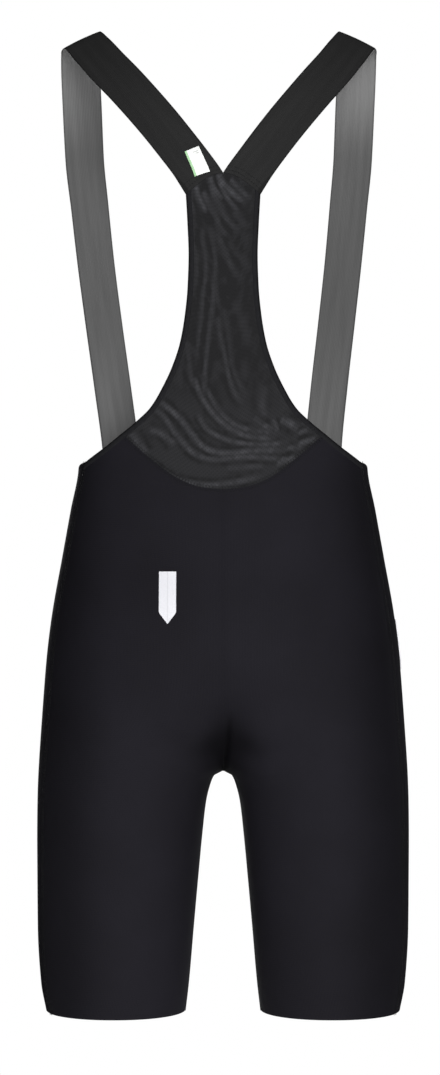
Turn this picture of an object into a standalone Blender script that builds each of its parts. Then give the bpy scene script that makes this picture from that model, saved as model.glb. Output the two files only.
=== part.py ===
"""Bib shorts in the hollow form they have on a standing figure, with nobody in them.

The figure faces +Y with its left hand at -X, and Z is up. The origin is midway between the two
places where the shoulders carry the straps. Sizes are in metres. Heights in the tables are
above the crotch, and place() turns them into the frame of the part.
"""

import math
from collections import namedtuple

import bmesh
import bpy
import numpy as np

SHOULDER_HEIGHT = 0.6975  # from the crotch up to the underside of the straps
SEAM_GAP = 0.0003
BODY_WALL = 0.0016
MESH_WALL = 0.0012
STRAP_WALL = 0.0015
TAB_WALL = 0.0008
STEP = 1e-4  # for slopes measured by small differences
LEVEL_STEP = 0.004  # the same, in rows and shares of the shorts' grid
SHARP_FOLD = math.radians(40)  # faces that meet at more than this show an edge

# Sections of the body. Back and front are the depths from the middle plane of the figure.
Level = namedtuple("Level", "height half_width back front")
TORSO = (
    Level(0.000, 0.1770, 0.0980, 0.0950),
    Level(0.055, 0.1733, 0.1085, 0.0985),
    Level(0.110, 0.1690, 0.1150, 0.1010),
    Level(0.150, 0.1640, 0.1130, 0.1020),
    Level(0.200, 0.1550, 0.1015, 0.1012),
    Level(0.250, 0.1460, 0.0910, 0.0995),
    Level(0.290, 0.1386, 0.0868, 0.0980),
    Level(0.330, 0.1375, 0.0865, 0.0985),
    Level(0.390, 0.1450, 0.0910, 0.1020),
    Level(0.460, 0.1560, 0.0985, 0.1080),
    Level(0.540, 0.1650, 0.1060, 0.1100),
    Level(0.610, 0.1680, 0.1070, 0.1000),
)
BACK_ROUNDNESS = 2.2  # 2 is an ellipse, and more is squarer
FRONT_ROUNDNESS = 2.6
CLEFT_WIDTH = 0.034
CLEFT_SHARE = 0.09  # of the back's depth, gone where the hollow between the seat's halves is deepest
CLEFT_HEIGHT = 0.045  # of that place, and how far above and below it the hollow dies out

# Sections of one leg. Inner and outer are the distances from the middle plane between the legs.
Leg = namedtuple("Leg", "height inner outer back front")
LEGS = (
    Leg(-0.2297, 0.0360, 0.1695, 0.0660, 0.0730),
    Leg(-0.203, 0.0329, 0.1745, 0.0675, 0.0765),
    Leg(-0.150, 0.0283, 0.1777, 0.0705, 0.0830),
    Leg(-0.100, 0.0238, 0.1781, 0.0755, 0.0880),
    Leg(-0.060, 0.0200, 0.1783, 0.0800, 0.0915),
    Leg(-0.030, 0.0165, 0.1780, 0.0840, 0.0925),
    Leg(-0.012, 0.0120, 0.1776, 0.0866, 0.0928),
    Leg(-0.0058, 0.0093, 0.1773, 0.0874, 0.0929),
    Leg(-0.0023, 0.0060, 0.1771, 0.0880, 0.0929),
    Leg(0.000, 0.0000, 0.1770, 0.0883, 0.0930),
    Leg(0.055, 0.0000, 0.1733, 0.0965, 0.0940),
    Leg(0.110, 0.0000, 0.1690, 0.1030, 0.0950),
)
LEG_ROUNDNESS = 2.1
HEM_HEIGHT = LEGS[0].height
HIP_HEIGHT = 0.110  # up to here the legs grow together into the hips
CROTCH_ROUNDNESS = 2.2
FRONT_RISE = 0.085
RISE_SPREAD = 0.34  # how far round the body the dip of the crotch reaches, as a share
GUSSET_SPREAD = 0.22  # how far round it the cloth turns under from leg to leg

# The back's free edge, from the strap down the mesh and out to the top of the side.
Edge = namedtuple("Edge", "height half_width")
BACK_EDGE = (
    Edge(0.5400, 0.0346),
    Edge(0.5150, 0.0332),
    Edge(0.4850, 0.0321),
    Edge(0.4550, 0.0331),
    Edge(0.4300, 0.0356),
    Edge(0.4050, 0.0400),
    Edge(0.3830, 0.0472),
    Edge(0.3620, 0.0572),
    Edge(0.3440, 0.0684),
    Edge(0.3310, 0.0822),
    Edge(0.3200, 0.0962),
    Edge(0.3090, 0.1104),
    Edge(0.2990, 0.1248),
    Edge(0.2930, 0.1333),
    Edge(0.2885, 0.1400),
)
BINDING_WIDTH = 0.0050
BINDING_RAISE = 0.0004  # how far it stands out of the cloth
BINDING_CROWN = 0.0003
BINDING_WALL = 0.0022
BINDING_THINNING = (0.5, 0.8)  # shares of its raise and of its wall that are left at the free edge
EDGE_SAMPLES = 200

# Heights of the other seams and edges by their distance from the middle.
Curve = namedtuple("Curve", "away height")
MESH_SEAM = (
    Curve(0.0000, 0.2676),
    Curve(0.0200, 0.2696),
    Curve(0.0420, 0.2779),
    Curve(0.0670, 0.2957),
    Curve(0.0890, 0.3147),
    Curve(0.1050, 0.3290),
)
YOKE_ARCH = (
    Curve(0.0000, 0.5602),
    Curve(0.0090, 0.5583),
    Curve(0.0180, 0.5535),
    Curve(0.0270, 0.5467),
    Curve(0.0346, 0.5400),
)
FRONT_EDGE = (
    Curve(0.0000, 0.2280),
    Curve(0.0300, 0.2325),
    Curve(0.0580, 0.2480),
    Curve(0.0800, 0.2685),
    Curve(0.0990, 0.2800),
    Curve(0.1180, 0.2840),
    Curve(0.1400, 0.2850),
)
SIDE_BACK_LEG, SIDE_BACK_HIP = 0.430, 0.4275  # shares round the body of the side panel's seams
SIDE_FRONT_LEG, SIDE_FRONT_HIP = 0.560, 0.560
SEAM_SHIFT_START, SEAM_SHIFT_SPAN = -0.02, 0.12  # the heights over which a seam goes from leg to hip
TOP_GUESS = 0.28  # a height near every top edge, where the search for it starts
SETTLE_ROUNDS = 12
HALVINGS = 40

# The left strap, from the back seam over the shoulder to the front. Across points outwards, and
# shift moves both straps the same way, as the pair hangs a little to the left.
Station = namedtuple("Station", "x y height across_x across_y across_height shift")
STRAP = (
    Station(-0.0180, -0.1055, 0.5495, -0.853, 0.05, -0.52, 0.0),
    Station(-0.0300, -0.1050, 0.5688, -0.800, 0.10, -0.60, 0.0),
    Station(-0.0439, -0.1020, 0.5877, -0.777, 0.14, -0.63, -0.0003),
    Station(-0.0589, -0.0970, 0.6072, -0.777, 0.17, -0.63, -0.0005),
    Station(-0.0749, -0.0890, 0.6270, -0.760, 0.19, -0.65, -0.0008),
    Station(-0.0911, -0.0770, 0.6467, -0.755, 0.17, -0.65, -0.0012),
    Station(-0.1070, -0.0600, 0.6658, -0.770, 0.08, -0.62, -0.0018),
    Station(-0.1215, -0.0370, 0.6853, -0.800, -0.06, -0.56, -0.0026),
    Station(-0.1320, -0.0100, 0.6990, -0.865, -0.22, -0.44, -0.0034),
    Station(-0.1345, 0.0140, 0.6970, -0.915, -0.20, -0.35, -0.0040),
    Station(-0.1346, 0.0420, 0.6770, -0.960, -0.14, -0.24, -0.0043),
    Station(-0.1340, 0.0680, 0.6420, -0.983, -0.12, -0.13, -0.0043),
    Station(-0.1328, 0.0870, 0.5980, -0.972, -0.20, -0.07, -0.0042),
    Station(-0.1285, 0.0975, 0.5500, -0.950, -0.30, -0.02, -0.0038),
    Station(-0.1230, 0.1000, 0.4950, -0.935, -0.35, 0.02, -0.0034),
    Station(-0.1157, 0.0975, 0.4350, -0.930, -0.36, 0.05, -0.0028),
    Station(-0.1073, 0.0915, 0.3700, -0.930, -0.36, 0.05, -0.0020),
    Station(-0.1008, 0.0840, 0.3150, -0.920, -0.38, 0.04, -0.0010),
    Station(-0.0985, 0.0800, 0.2820, -0.890, -0.45, 0.02, 0.0),
)
STRAP_WIDTH = 0.0385
STRAP_CROWN = 0.0008
STRAP_FITTING = 0.030  # the stretch at each end that takes the line of its seam
STRAP_FOOT = (0.0805, 0.1175)  # where it meets the front's edge, away from the middle
STRAP_FOOT_GAP = 0.00045
STRAP_STEP = 1e-3

# Soft folds of the mesh, from the strap seam down to the right.
Fold = namedtuple("Fold", "top_x bottom_x bottom_height depth width")
FOLDS = (
    Fold(-0.024, -0.050, 0.318, 0.0008, 0.0052),
    Fold(-0.014, -0.018, 0.300, 0.0010, 0.0055),
    Fold(-0.004, 0.026, 0.300, 0.0011, 0.0056),
    Fold(0.006, 0.058, 0.315, 0.0010, 0.0058),
    Fold(0.016, 0.066, 0.334, 0.0009, 0.0056),
)
FOLD_BEND = 2.2  # more turns the folds aside later
FOLD_OVERRUN = 1.15  # how far a fold runs, as a share of the way to its bottom height
FOLD_FADE = 0.3  # the last stretch of that
FOLD_SIDE_FADE, FOLD_FOOT_FADE, FOLD_TOP_FADE = 0.25, 0.08, 0.05  # shares of the mesh's width and height

# The reflective tabs and the woven label.
TAB_SIZE = (0.0158, 0.0480)
TAB_POINT = 0.0103
TAB_CLEARANCE = 0.00045  # from the round surface that the panel's flat facets follow
BACK_TAB_TOP = (-0.0512, 0.1912)
SIDE_TAB_TOP = (0.0060, 0.1440)
LABEL_SIZE = (0.0140, 0.0280)
LABEL_AT = (0.0190, -0.0050)  # its middle, along the strap and across it
LABEL_TURN = math.radians(15.5)

LEG_ROWS = (0.0, 0.10, 0.21, 0.34, 0.47, 0.60, 0.715, 0.81, 0.89, 0.948, 0.975, 0.99, 1.0)
CROTCH_ROWS = 8
HIP_ROWS = 7
SEAT_COLUMNS = 8
HIP_COLUMNS = 5
SIDE_COLUMNS = 3
FRONT_COLUMNS = 9
MESH_ROWS = 26
MESH_ROW_BEND = 0.86  # below 1 the rows lie closer at the mesh's foot
BINDING_ROWS = 34
STRAP_COLUMNS = 6
STRAP_ROWS = 42
TAB_ROWS = 5
LABEL_ROWS, LABEL_COLUMNS = 4, 2

Finish = namedtuple("Finish", "colour roughness")
BODY_CLOTH = Finish((0.018, 0.018, 0.022), 0.72)
MESH_CLOTH = Finish((0.030, 0.030, 0.032), 0.85)
STRAP_CLOTH = Finish((0.016, 0.016, 0.017), 0.80)
BINDING_CLOTH = Finish((0.010, 0.010, 0.011), 0.75)
REFLECTIVE = Finish((0.800, 0.800, 0.830), 0.35)
LABEL_CLOTH = Finish((0.860, 0.880, 0.850), 0.60)


def clear_scene():
    for thing in list(bpy.data.objects):
        bpy.data.objects.remove(thing, do_unlink=True)


def smooth(rows, column, at):
    """The column's value at this place, on a smooth curve through the rows, whose first column rises."""
    places = [row[0] for row in rows]
    values = [getattr(row, column) for row in rows]
    at = min(max(at, places[0]), places[-1])
    k = min(int(np.searchsorted(places, at, side="right")) - 1, len(rows) - 2)
    k = max(k, 0)
    span = places[k + 1] - places[k]
    slopes = [slope_at(places, values, k + side) for side in (0, 1)]
    t = (at - places[k]) / span
    return (
        (1 + 2 * t) * (1 - t) ** 2 * values[k]
        + t * (1 - t) ** 2 * span * slopes[0]
        + t * t * (3 - 2 * t) * values[k + 1]
        + t * t * (t - 1) * span * slopes[1]
    )


def slope_at(places, values, k):
    """The slope of the curve at a row: the mean of its two neighbours, and none at a turn."""
    steps = [
        (values[j + 1] - values[j]) / (places[j + 1] - places[j])
        for j in (k - 1, k)
        if 0 <= j < len(places) - 1
    ]
    if len(steps) == 2 and steps[0] * steps[1] <= 0:
        return 0.0
    if len(steps) == 2:
        return 2 * steps[0] * steps[1] / (steps[0] + steps[1])
    return steps[0]


def ease(t):
    t = min(max(t, 0.0), 1.0)
    return t * t * (3 - 2 * t)


def power(value, exponent):
    return math.copysign(abs(value) ** exponent, value)


def place(x, y, height):
    return np.array((x, y, height - SHOULDER_HEIGHT))


def unit(vectors):
    return vectors / np.maximum(np.linalg.norm(vectors, axis=-1, keepdims=True), 1e-12)


def cleft(away, height):
    """How much of the back's depth is left beside the hollow of the seat."""
    rise = math.exp(-(((height - CLEFT_HEIGHT) / CLEFT_HEIGHT) ** 2))
    return 1 - CLEFT_SHARE * rise * math.exp(-((away / CLEFT_WIDTH) ** 2))


def outwards(share):
    """How far out a column lies, from 0 at the middle to 1 at the side. Shares run all the way round."""
    return (1 - power(math.cos(2 * math.pi * share), 2 / LEG_ROUNDNESS)) / 2


def hip_point(share, height):
    """A point of the left half of a hip section, from the back middle round to the front middle."""
    at_back = share < 0.5
    part = min(outwards(share), 1.0)
    bend = BACK_ROUNDNESS if at_back else FRONT_ROUNDNESS
    x = -smooth(TORSO, "half_width", height) * part
    y = smooth(TORSO, "back" if at_back else "front", height) * (1 - part**bend) ** (1 / bend)
    return x, -y * cleft(abs(x), height) if at_back else y


def leg_point(share, height):
    """A point of the left leg's section, from the inside round the back to the inside again."""
    inner, outer = (smooth(LEGS, side, height) for side in ("inner", "outer"))
    depth = smooth(LEGS, "back" if share < 0.5 else "front", height)
    y = -depth * power(math.sin(2 * math.pi * share), 2 / LEG_ROUNDNESS)
    return -inner - (outer - inner) * outwards(share), y


def back_depth(away, height):
    """How far behind the middle plane the back lies, this far from the middle."""
    share = min(abs(away) / smooth(TORSO, "half_width", height), 1.0)
    depth = smooth(TORSO, "back", height) * cleft(abs(away), height)
    return depth * (1 - share**BACK_ROUNDNESS) ** (1 / BACK_ROUNDNESS)


def back_point(x, height):
    return place(x, -back_depth(x, height), height)


def back_normal(x, height):
    slope_x = (back_depth(x - STEP, height) - back_depth(x + STEP, height)) / (2 * STEP)
    slope_up = (back_depth(x, height - STEP) - back_depth(x, height + STEP)) / (2 * STEP)
    return unit(np.array((slope_x, -1.0, slope_up)))


def cut_line(line, room):
    """A flat line in two parts, where room(away, height) turns negative. Both hold the cut's point."""
    rooms = [room(away, height) for away, height in line]
    k = next(k for k, here in enumerate(rooms) if here < 0)
    share = rooms[k - 1] / (rooms[k - 1] - rooms[k])
    cut = line[k - 1] + (line[k] - line[k - 1]) * share
    return np.concatenate([line[:k], [cut]]), np.concatenate([[cut], line[k:]])


def before_side(away, height):
    return abs(hip_point(SIDE_BACK_HIP, height)[0]) - away


def edge_lines():
    """The back's free edge and the line where its binding starts, from the top to the side seam."""
    rows = sorted(BACK_EDGE)
    heights = np.linspace(rows[-1].height, rows[0].height, EDGE_SAMPLES)
    line = np.array([(smooth(rows, "half_width", at), at) for at in heights])
    along = np.abs(np.gradient(line, axis=0))
    inwards = -along[:, ::-1] / np.linalg.norm(along, axis=1)[:, None]
    return [cut_line(part, before_side)[0] for part in (line, line + inwards * BINDING_WIDTH)]


EDGE_LINE, BINDING_LINE = edge_lines()
_, WAIST_LINE = cut_line(BINDING_LINE, lambda away, up: up - smooth(MESH_SEAM, "height", away))
CORNER = WAIST_LINE[0]  # where the mesh's lower seam runs into the binding


def back_edge_height(away):
    """The top of the back panel: the mesh's seam, and past its end the binding's line."""
    if away <= CORNER[0]:
        return smooth(MESH_SEAM, "height", away)
    return float(np.interp(away, WAIST_LINE[:, 0], WAIST_LINE[:, 1]))


def side_seam(height, leg_share, hip_share):
    return leg_share + (hip_share - leg_share) * ease((height - SEAM_SHIFT_START) / SEAM_SHIFT_SPAN)


def settle(share, edge):
    """The height at which this column of the hips meets an edge given by distance from the middle."""
    height = TOP_GUESS
    for _ in range(SETTLE_ROUNDS):
        height = edge(abs(hip_point(share, height)[0]))
    return height


def back_top(share):
    return settle(share, back_edge_height)


def front_top(share):
    return settle(share, lambda away: smooth(FRONT_EDGE, "height", away))


def side_top(share):
    """The side panel's top runs from the height of the back's free edge to that of the front's."""
    way = (share - SIDE_BACK_HIP) / (SIDE_FRONT_HIP - SIDE_BACK_HIP)
    outer = float(EDGE_LINE[-1, 1])
    return outer + (front_top(SIDE_FRONT_HIP) - outer) * ease(way)


def trunk(share, level, top):
    """A point of the left half. Level is 0 at the hem, 1 at the crotch, 2 at the hip and 3 at the top."""
    if share < 0 and level <= 1:
        share += 1
    if share > 1 and level <= 1:
        share -= 1
    if share < 0 or share > 1:
        other = trunk(-share if share < 0 else 2 - share, level, top)
        return other * np.array((-1, 1, 1))
    if level <= 1:
        height = HEM_HEIGHT * (1 - level)
        return place(*leg_point(share, height), height)
    if level >= 2:
        height = HIP_HEIGHT + (level - 2) * (top(share) - HIP_HEIGHT)
        return place(*hip_point(share, height), height)
    return crotch_point(share, (level - 1) * math.pi / 2)


def crotch_point(share, turn):
    """Between the legs and the hips a section is part leg and part hip, and dips along the rise."""
    bend = 2 / CROTCH_ROUNDNESS
    way = turn / (math.pi / 2)
    rise = 1 - max(math.cos(turn), 0.0) ** bend
    outside = HIP_HEIGHT * way
    at_back = share < 0.5
    low = HIP_HEIGHT if at_back else FRONT_RISE
    middle = rise * low + (HIP_HEIGHT - low) * ease(way)
    from_middle = share if at_back else 1 - share
    height = outside + (middle - outside) * (1 - ease(from_middle / RISE_SPREAD))
    under = 1 - ease(from_middle / GUSSET_SPREAD)
    hip_part = ease(way) + (math.sin(turn) ** bend - ease(way)) * under
    leg = np.array(leg_point(share, height))
    hip = np.array(hip_point(share, height))
    return place(*(leg + (hip - leg) * hip_part), height)


def trunk_normal(share, level, top):
    """The direction out of the cloth."""
    if abs(level - 1) < 1e-6 and (share < 1e-6 or share > 1 - 1e-6):
        return np.array((0.0, 0.0, -1.0))
    low, high = max(level - LEVEL_STEP, 0.0), min(level + LEVEL_STEP, 3.0)
    round_it = trunk(share + LEVEL_STEP, level, top) - trunk(share - LEVEL_STEP, level, top)
    up = trunk(share, high, top) - trunk(share, low, top)
    return unit(np.cross(up, round_it))


def levels():
    """The rows of the shorts, from the hem to the top."""
    crotch = [1 + (k + 1) / CROTCH_ROWS for k in range(CROTCH_ROWS)]
    hip = [2 + (k + 1) / HIP_ROWS for k in range(HIP_ROWS)]
    return [*LEG_ROWS, *crotch, *hip]


def seam_shares(level):
    """Where the side panel's two seams lie at this level."""
    height = HEM_HEIGHT * (1 - level) if level <= 1 else HIP_HEIGHT * (level - 1)
    return (
        side_seam(height, SIDE_BACK_LEG, SIDE_BACK_HIP),
        side_seam(height, SIDE_FRONT_LEG, SIDE_FRONT_HIP),
    )


def corner_share():
    """The column that runs into the end of the mesh's seam."""
    low, high = 0.0, SIDE_BACK_HIP
    for _ in range(HALVINGS):
        middle = (low + high) / 2
        if abs(hip_point(middle, CORNER[1])[0]) < CORNER[0]:
            low = middle
        else:
            high = middle
    return low


def spread(start, end, count):
    return list(np.linspace(start, end, count + 1))


def back_shares(level, corner):
    """The columns of the back panel's left half, from the middle to the side seam."""
    seam = seam_shares(level)[0]
    corner = corner * seam / SIDE_BACK_HIP
    return spread(0, corner, SEAT_COLUMNS) + spread(corner, seam, HIP_COLUMNS)[1:]


def sampled(shares_of, top):
    """Points and normals of a patch of the left half, a row for each level."""
    rows = [(level, shares_of(level)) for level in levels()]
    points = np.array([[trunk(s, level, top) for s in shares] for level, shares in rows])
    normals = np.array([[trunk_normal(s, level, top) for s in shares] for level, shares in rows])
    return points, normals


def drawn_in(points, line, neighbour):
    """Moves one line of a patch towards its neighbour by half the seam's gap."""
    points[line] += SEAM_GAP / 2 * unit(points[neighbour] - points[line])


def patch_faces(rows, columns, first=0):
    """The quads of a grid whose points are numbered row by row."""
    return [
        [first + r * columns + c, first + r * columns + c + 1]
        + [first + (r + 1) * columns + c + 1, first + (r + 1) * columns + c]
        for r in range(rows - 1)
        for c in range(columns - 1)
    ]


def material(name, finish):
    made = bpy.data.materials.get(name) or bpy.data.materials.new(name)
    made.use_nodes = True
    shader = made.node_tree.nodes["Principled BSDF"]
    shader.inputs["Base Color"].default_value = (*finish.colour, 1)
    shader.inputs["Roughness"].default_value = finish.roughness
    return made


def object_from(name, points, faces, finish_name, finish):
    """Adds a closed mesh as an object, with its faces turned outwards and its folds smooth."""
    mesh = bpy.data.meshes.new(name)
    mesh.from_pydata([tuple(p) for p in points], [], faces)
    work = bmesh.new()
    work.from_mesh(mesh)
    bmesh.ops.recalc_face_normals(work, faces=work.faces)
    work.to_mesh(mesh)
    work.free()
    mesh.shade_smooth()
    mesh.set_sharp_from_angle(angle=SHARP_FOLD)
    made = bpy.data.objects.new(name, mesh)
    made.data.materials.append(material(finish_name, finish))
    bpy.context.scene.collection.objects.link(made)


def wall(name, points, normals, faces, thickness, finish_name, finish):
    """Cloth as a closed wall: the outer face, the inner face and the cut edge all round."""
    points = np.asarray(points).reshape(-1, 3)
    normals = np.asarray(normals).reshape(-1, 3)
    count = len(points)
    uses = {}
    for face in faces:
        for a, b in zip(face, face[1:] + face[:1]):
            uses.setdefault((min(a, b), max(a, b)), []).append((a, b))
    rim = [
        [b, a, a + count, b + count]
        for (a, b), in (sides for sides in uses.values() if len(sides) == 1)
    ]
    inner = [[v + count for v in reversed(face)] for face in faces]
    both = np.concatenate([points, points - normals * thickness])
    object_from(name, both, faces + inner + rim, finish_name, finish)


def mirrored(points):
    return points * np.array((-1, 1, 1))


def make_back_panel():
    """One piece: the seat and the backs of both legs, with no seam down its middle."""
    corner = corner_share()
    points, normals = sampled(lambda level: back_shares(level, corner), back_top)
    crotch = len(LEG_ROWS) - 1
    drawn_in(points, np.s_[:, -1], np.s_[:, -2])
    drawn_in(points, np.s_[:crotch, 0], np.s_[:crotch, 1])
    drawn_in(points, np.s_[crotch, 0], np.s_[crotch + 1, 0])
    drawn_in(points, np.s_[-1], np.s_[-2])
    points[crotch + 1 :, 0, 0] = 0
    rows, columns = points.shape[:2]
    faces = patch_faces(rows, columns)
    first = rows * columns
    other = [[first + v for v in reversed(face)] for face in faces]
    shared = {first + r * columns: r * columns for r in range(crotch, rows)}
    faces += [[shared.get(v, v) for v in face] for face in other]
    both = np.concatenate([points.reshape(-1, 3), mirrored(points.reshape(-1, 3))])
    out = np.concatenate([normals.reshape(-1, 3), mirrored(normals.reshape(-1, 3))])
    kept = sorted({v for face in faces for v in face})
    number = {v: k for k, v in enumerate(kept)}
    faces = [[number[v] for v in face] for face in faces]
    wall("back_panel", both[kept], out[kept], faces, BODY_WALL, "body_cloth", BODY_CLOTH)


def make_pair(name, points, normals, thickness, finish_name, finish, shifts=0):
    """A patch of the left half and its mirror image on the right, both moved by the shifts."""
    faces = patch_faces(*points.shape[:2])
    wall(name + "_left", points + shifts, normals, faces, thickness, finish_name, finish)
    points, normals = mirrored(points) + shifts, mirrored(normals)
    wall(name + "_right", points, normals, faces, thickness, finish_name, finish)


def make_side_panels():
    """A narrow panel down the outside of each leg, from the top edge to the hem."""
    points, normals = sampled(lambda level: spread(*seam_shares(level), SIDE_COLUMNS), side_top)
    drawn_in(points, np.s_[:, 0], np.s_[:, 1])
    drawn_in(points, np.s_[:, -1], np.s_[:, -2])
    make_pair("side_panel", points, normals, BODY_WALL, "body_cloth", BODY_CLOTH)


def make_front_panels():
    """A panel for each front, joined down the middle above the crotch."""
    points, normals = sampled(
        lambda level: spread(seam_shares(level)[1], 1, FRONT_COLUMNS), front_top
    )
    crotch = len(LEG_ROWS) - 1
    drawn_in(points, np.s_[:, 0], np.s_[:, 1])
    drawn_in(points, np.s_[:, -1], np.s_[:, -2])
    drawn_in(points, np.s_[crotch, -1], np.s_[crotch + 1, -1])
    points[crotch:, -1, 0] = -SEAM_GAP / 2
    make_pair("front_panel", points, normals, BODY_WALL, "body_cloth", BODY_CLOTH)


def fold_height(x, height, share, reach):
    """How far the soft folds lift the mesh here. They die out towards its edges."""
    top = YOKE_ARCH[0].height
    lift = 0.0
    for fold in FOLDS:
        down = (top - height) / (top - fold.bottom_height)
        if 0 < down < FOLD_OVERRUN:
            line = fold.top_x + (fold.bottom_x - fold.top_x) * down**FOLD_BEND
            fade = ease((FOLD_OVERRUN - down) / FOLD_FADE)
            lift += fold.depth * fade * math.exp(-(((x - line) / fold.width) ** 2))
    sides, foot = ease((1 - abs(share)) / FOLD_SIDE_FADE), ease(reach / FOLD_FOOT_FADE)
    return lift * sides * foot * ease((1 - reach) / FOLD_TOP_FADE)


def mesh_grid(columns):
    """Points and normals of the mesh. Columns are shares of its half width."""
    reaches = [1 - (1 - k / MESH_ROWS) ** MESH_ROW_BEND for k in range(MESH_ROWS + 1)]
    top = BINDING_LINE[0]
    points, normals = [], []
    for reach in reaches:
        side_height = CORNER[1] + (smooth(YOKE_ARCH, "height", top[0]) - CORNER[1]) * reach
        half = float(np.interp(-side_height, -BINDING_LINE[:, 1], BINDING_LINE[:, 0]))
        points.append([])
        normals.append([])
        for share in columns:
            low = smooth(MESH_SEAM, "height", abs(share) * CORNER[0])
            high = smooth(YOKE_ARCH, "height", abs(share) * top[0])
            height = low + (high - low) * reach
            x = share * half
            out = back_normal(x, height)
            lift = fold_height(x, height, share, reach)
            points[-1].append(back_point(x, height) + out * lift)
            normals[-1].append(out)
    return np.array(points), np.array(normals)


def make_mesh_panel():
    """The tall mesh between the straps and the shorts."""
    corner = corner_share()
    joined = back_shares(3, corner)[: SEAT_COLUMNS + 1]
    top_row = [abs(trunk(share, 3, back_top)[0]) for share in joined]
    half = [x / top_row[-1] for x in top_row]
    columns = [-s for s in reversed(half[1:])] + half
    points, normals = mesh_grid(columns)
    for line, neighbour in ((0, 1), (-1, -2)):
        drawn_in(points, np.s_[line], np.s_[neighbour])
        drawn_in(points, np.s_[:, line], np.s_[:, neighbour])
    faces = patch_faces(*points.shape[:2])
    wall("mesh_panel", points, normals, faces, MESH_WALL, "mesh_cloth", MESH_CLOTH)


def binding_section(inner, outer):
    """Six corners round the left binding, which joins the cloth at its inner line."""
    start, end = (back_point(-away, height) for away, height in (inner, outer))
    out_start, out_end = (back_normal(-away, height) for away, height in (inner, outer))
    start += SEAM_GAP * unit(end - start)
    middle, out_middle = (start + end) / 2, unit(out_start + out_end)
    under = BINDING_WALL - BINDING_RAISE
    raise_left, wall_left = BINDING_THINNING
    return [
        start + out_start * BINDING_RAISE,
        middle + out_middle * (BINDING_RAISE + BINDING_CROWN),
        end + out_end * BINDING_RAISE * raise_left,
        end - out_end * under * wall_left,
        middle - out_middle * under,
        start - out_start * under,
    ]


def tube_faces(count, around):
    """The sides of a tube of sections and its two ends."""
    sides = [
        [r * around + c, r * around + (c + 1) % around]
        + [(r + 1) * around + (c + 1) % around, (r + 1) * around + c]
        for r in range(count - 1)
        for c in range(around)
    ]
    last = (count - 1) * around
    return [*sides, list(range(around)), [last + c for c in reversed(range(around))]]


def resampled(line):
    """Points at equal steps along a flat line."""
    steps = np.linalg.norm(np.diff(line, axis=0), axis=1)
    places = np.concatenate([[0], np.cumsum(steps)])
    at = np.linspace(0, places[-1], BINDING_ROWS + 1)
    return np.stack([np.interp(at, places, line[:, k]) for k in (0, 1)], axis=1)


def make_bindings():
    """The elastic sewn along the back's free edge, from the strap to the side seam."""
    inner, outer = resampled(BINDING_LINE), resampled(EDGE_LINE)
    inner[0, 1] = smooth(YOKE_ARCH, "height", inner[0, 0])
    inner[0, 1] -= SEAM_GAP / 2
    outer[0, 1] -= SEAM_GAP / 2
    inner[-1, 0] -= SEAM_GAP / 2
    outer[-1, 0] -= SEAM_GAP / 2
    sections = [binding_section(*pair) for pair in zip(inner, outer)]
    points = np.array(sections).reshape(-1, 3)
    faces = tube_faces(len(sections), len(sections[0]))
    object_from("binding_left", points, faces, "binding", BINDING_CLOTH)
    object_from("binding_right", mirrored(points), faces, "binding", BINDING_CLOTH)


def strap_line():
    """The strap's middle line with its direction across, by distance along it."""
    rows = np.array(STRAP)
    chords = np.linalg.norm(np.diff(rows[:, :3], axis=0), axis=1)
    places = np.concatenate([[0], np.cumsum(chords)])
    Mark = namedtuple("Mark", ("along",) + Station._fields)
    return [Mark(at, *row) for at, row in zip(places, rows)]


STRAP_LINE = strap_line()
STRAP_LENGTH = STRAP_LINE[-1].along


def strap_middle(along):
    return place(*(smooth(STRAP_LINE, name, along) for name in ("x", "y", "height")))


def strap_frame(along):
    """The strap's middle, its direction across and its direction out at this distance."""
    ahead = strap_middle(min(along + STRAP_STEP, STRAP_LENGTH))
    behind = strap_middle(max(along - STRAP_STEP, 0))
    forward = unit(ahead - behind)
    names = ("across_x", "across_y", "across_height")
    across = np.array([smooth(STRAP_LINE, name, along) for name in names])
    across = unit(across - forward * (across @ forward))
    return strap_middle(along), across, unit(np.cross(forward, across))


def strap_end(side, at_back):
    """A point and normal of the seam at one end of the strap, for a side from -1 to 1."""
    share = (side + 1) / 2
    if at_back:
        away = SEAM_GAP / 2 + (YOKE_ARCH[-1].away - SEAM_GAP / 2) * share
        height = smooth(YOKE_ARCH, "height", away) + SEAM_GAP
        return back_point(-away, height), back_normal(-away, height)
    away = STRAP_FOOT[0] + (STRAP_FOOT[1] - STRAP_FOOT[0]) * share
    height = smooth(FRONT_EDGE, "height", away) + STRAP_FOOT_GAP
    width, depth = (smooth(TORSO, name, height) for name in ("half_width", "front"))
    part = away / width
    y = depth * (1 - part**FRONT_ROUNDNESS) ** (1 / FRONT_ROUNDNESS)
    slope = depth / width * part ** (FRONT_ROUNDNESS - 1) / (y / depth) ** (FRONT_ROUNDNESS - 1)
    return place(-away, y, height), unit(np.array((-slope, 1.0, 0.0)))


def strap_point(along, side):
    """A point and normal of the left strap's outer face."""
    middle, across, out = strap_frame(along)
    point = middle + across * side * STRAP_WIDTH / 2 + out * STRAP_CROWN * (1 - side * side)
    for at_back in (True, False):
        near = (along if at_back else STRAP_LENGTH - along) / STRAP_FITTING
        if near < 1:
            pull = 1 - ease(near)
            end, end_out = strap_end(side, at_back)
            first, first_across, first_out = strap_frame(0 if at_back else STRAP_LENGTH)
            start = first + first_across * side * STRAP_WIDTH / 2
            start += first_out * STRAP_CROWN * (1 - side * side)
            point = point + (end - start) * pull
            out = unit(out + (end_out - out) * pull)
    return point, out


def strap_shift(along):
    return np.array((smooth(STRAP_LINE, "shift", along), 0.0, 0.0))


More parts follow.
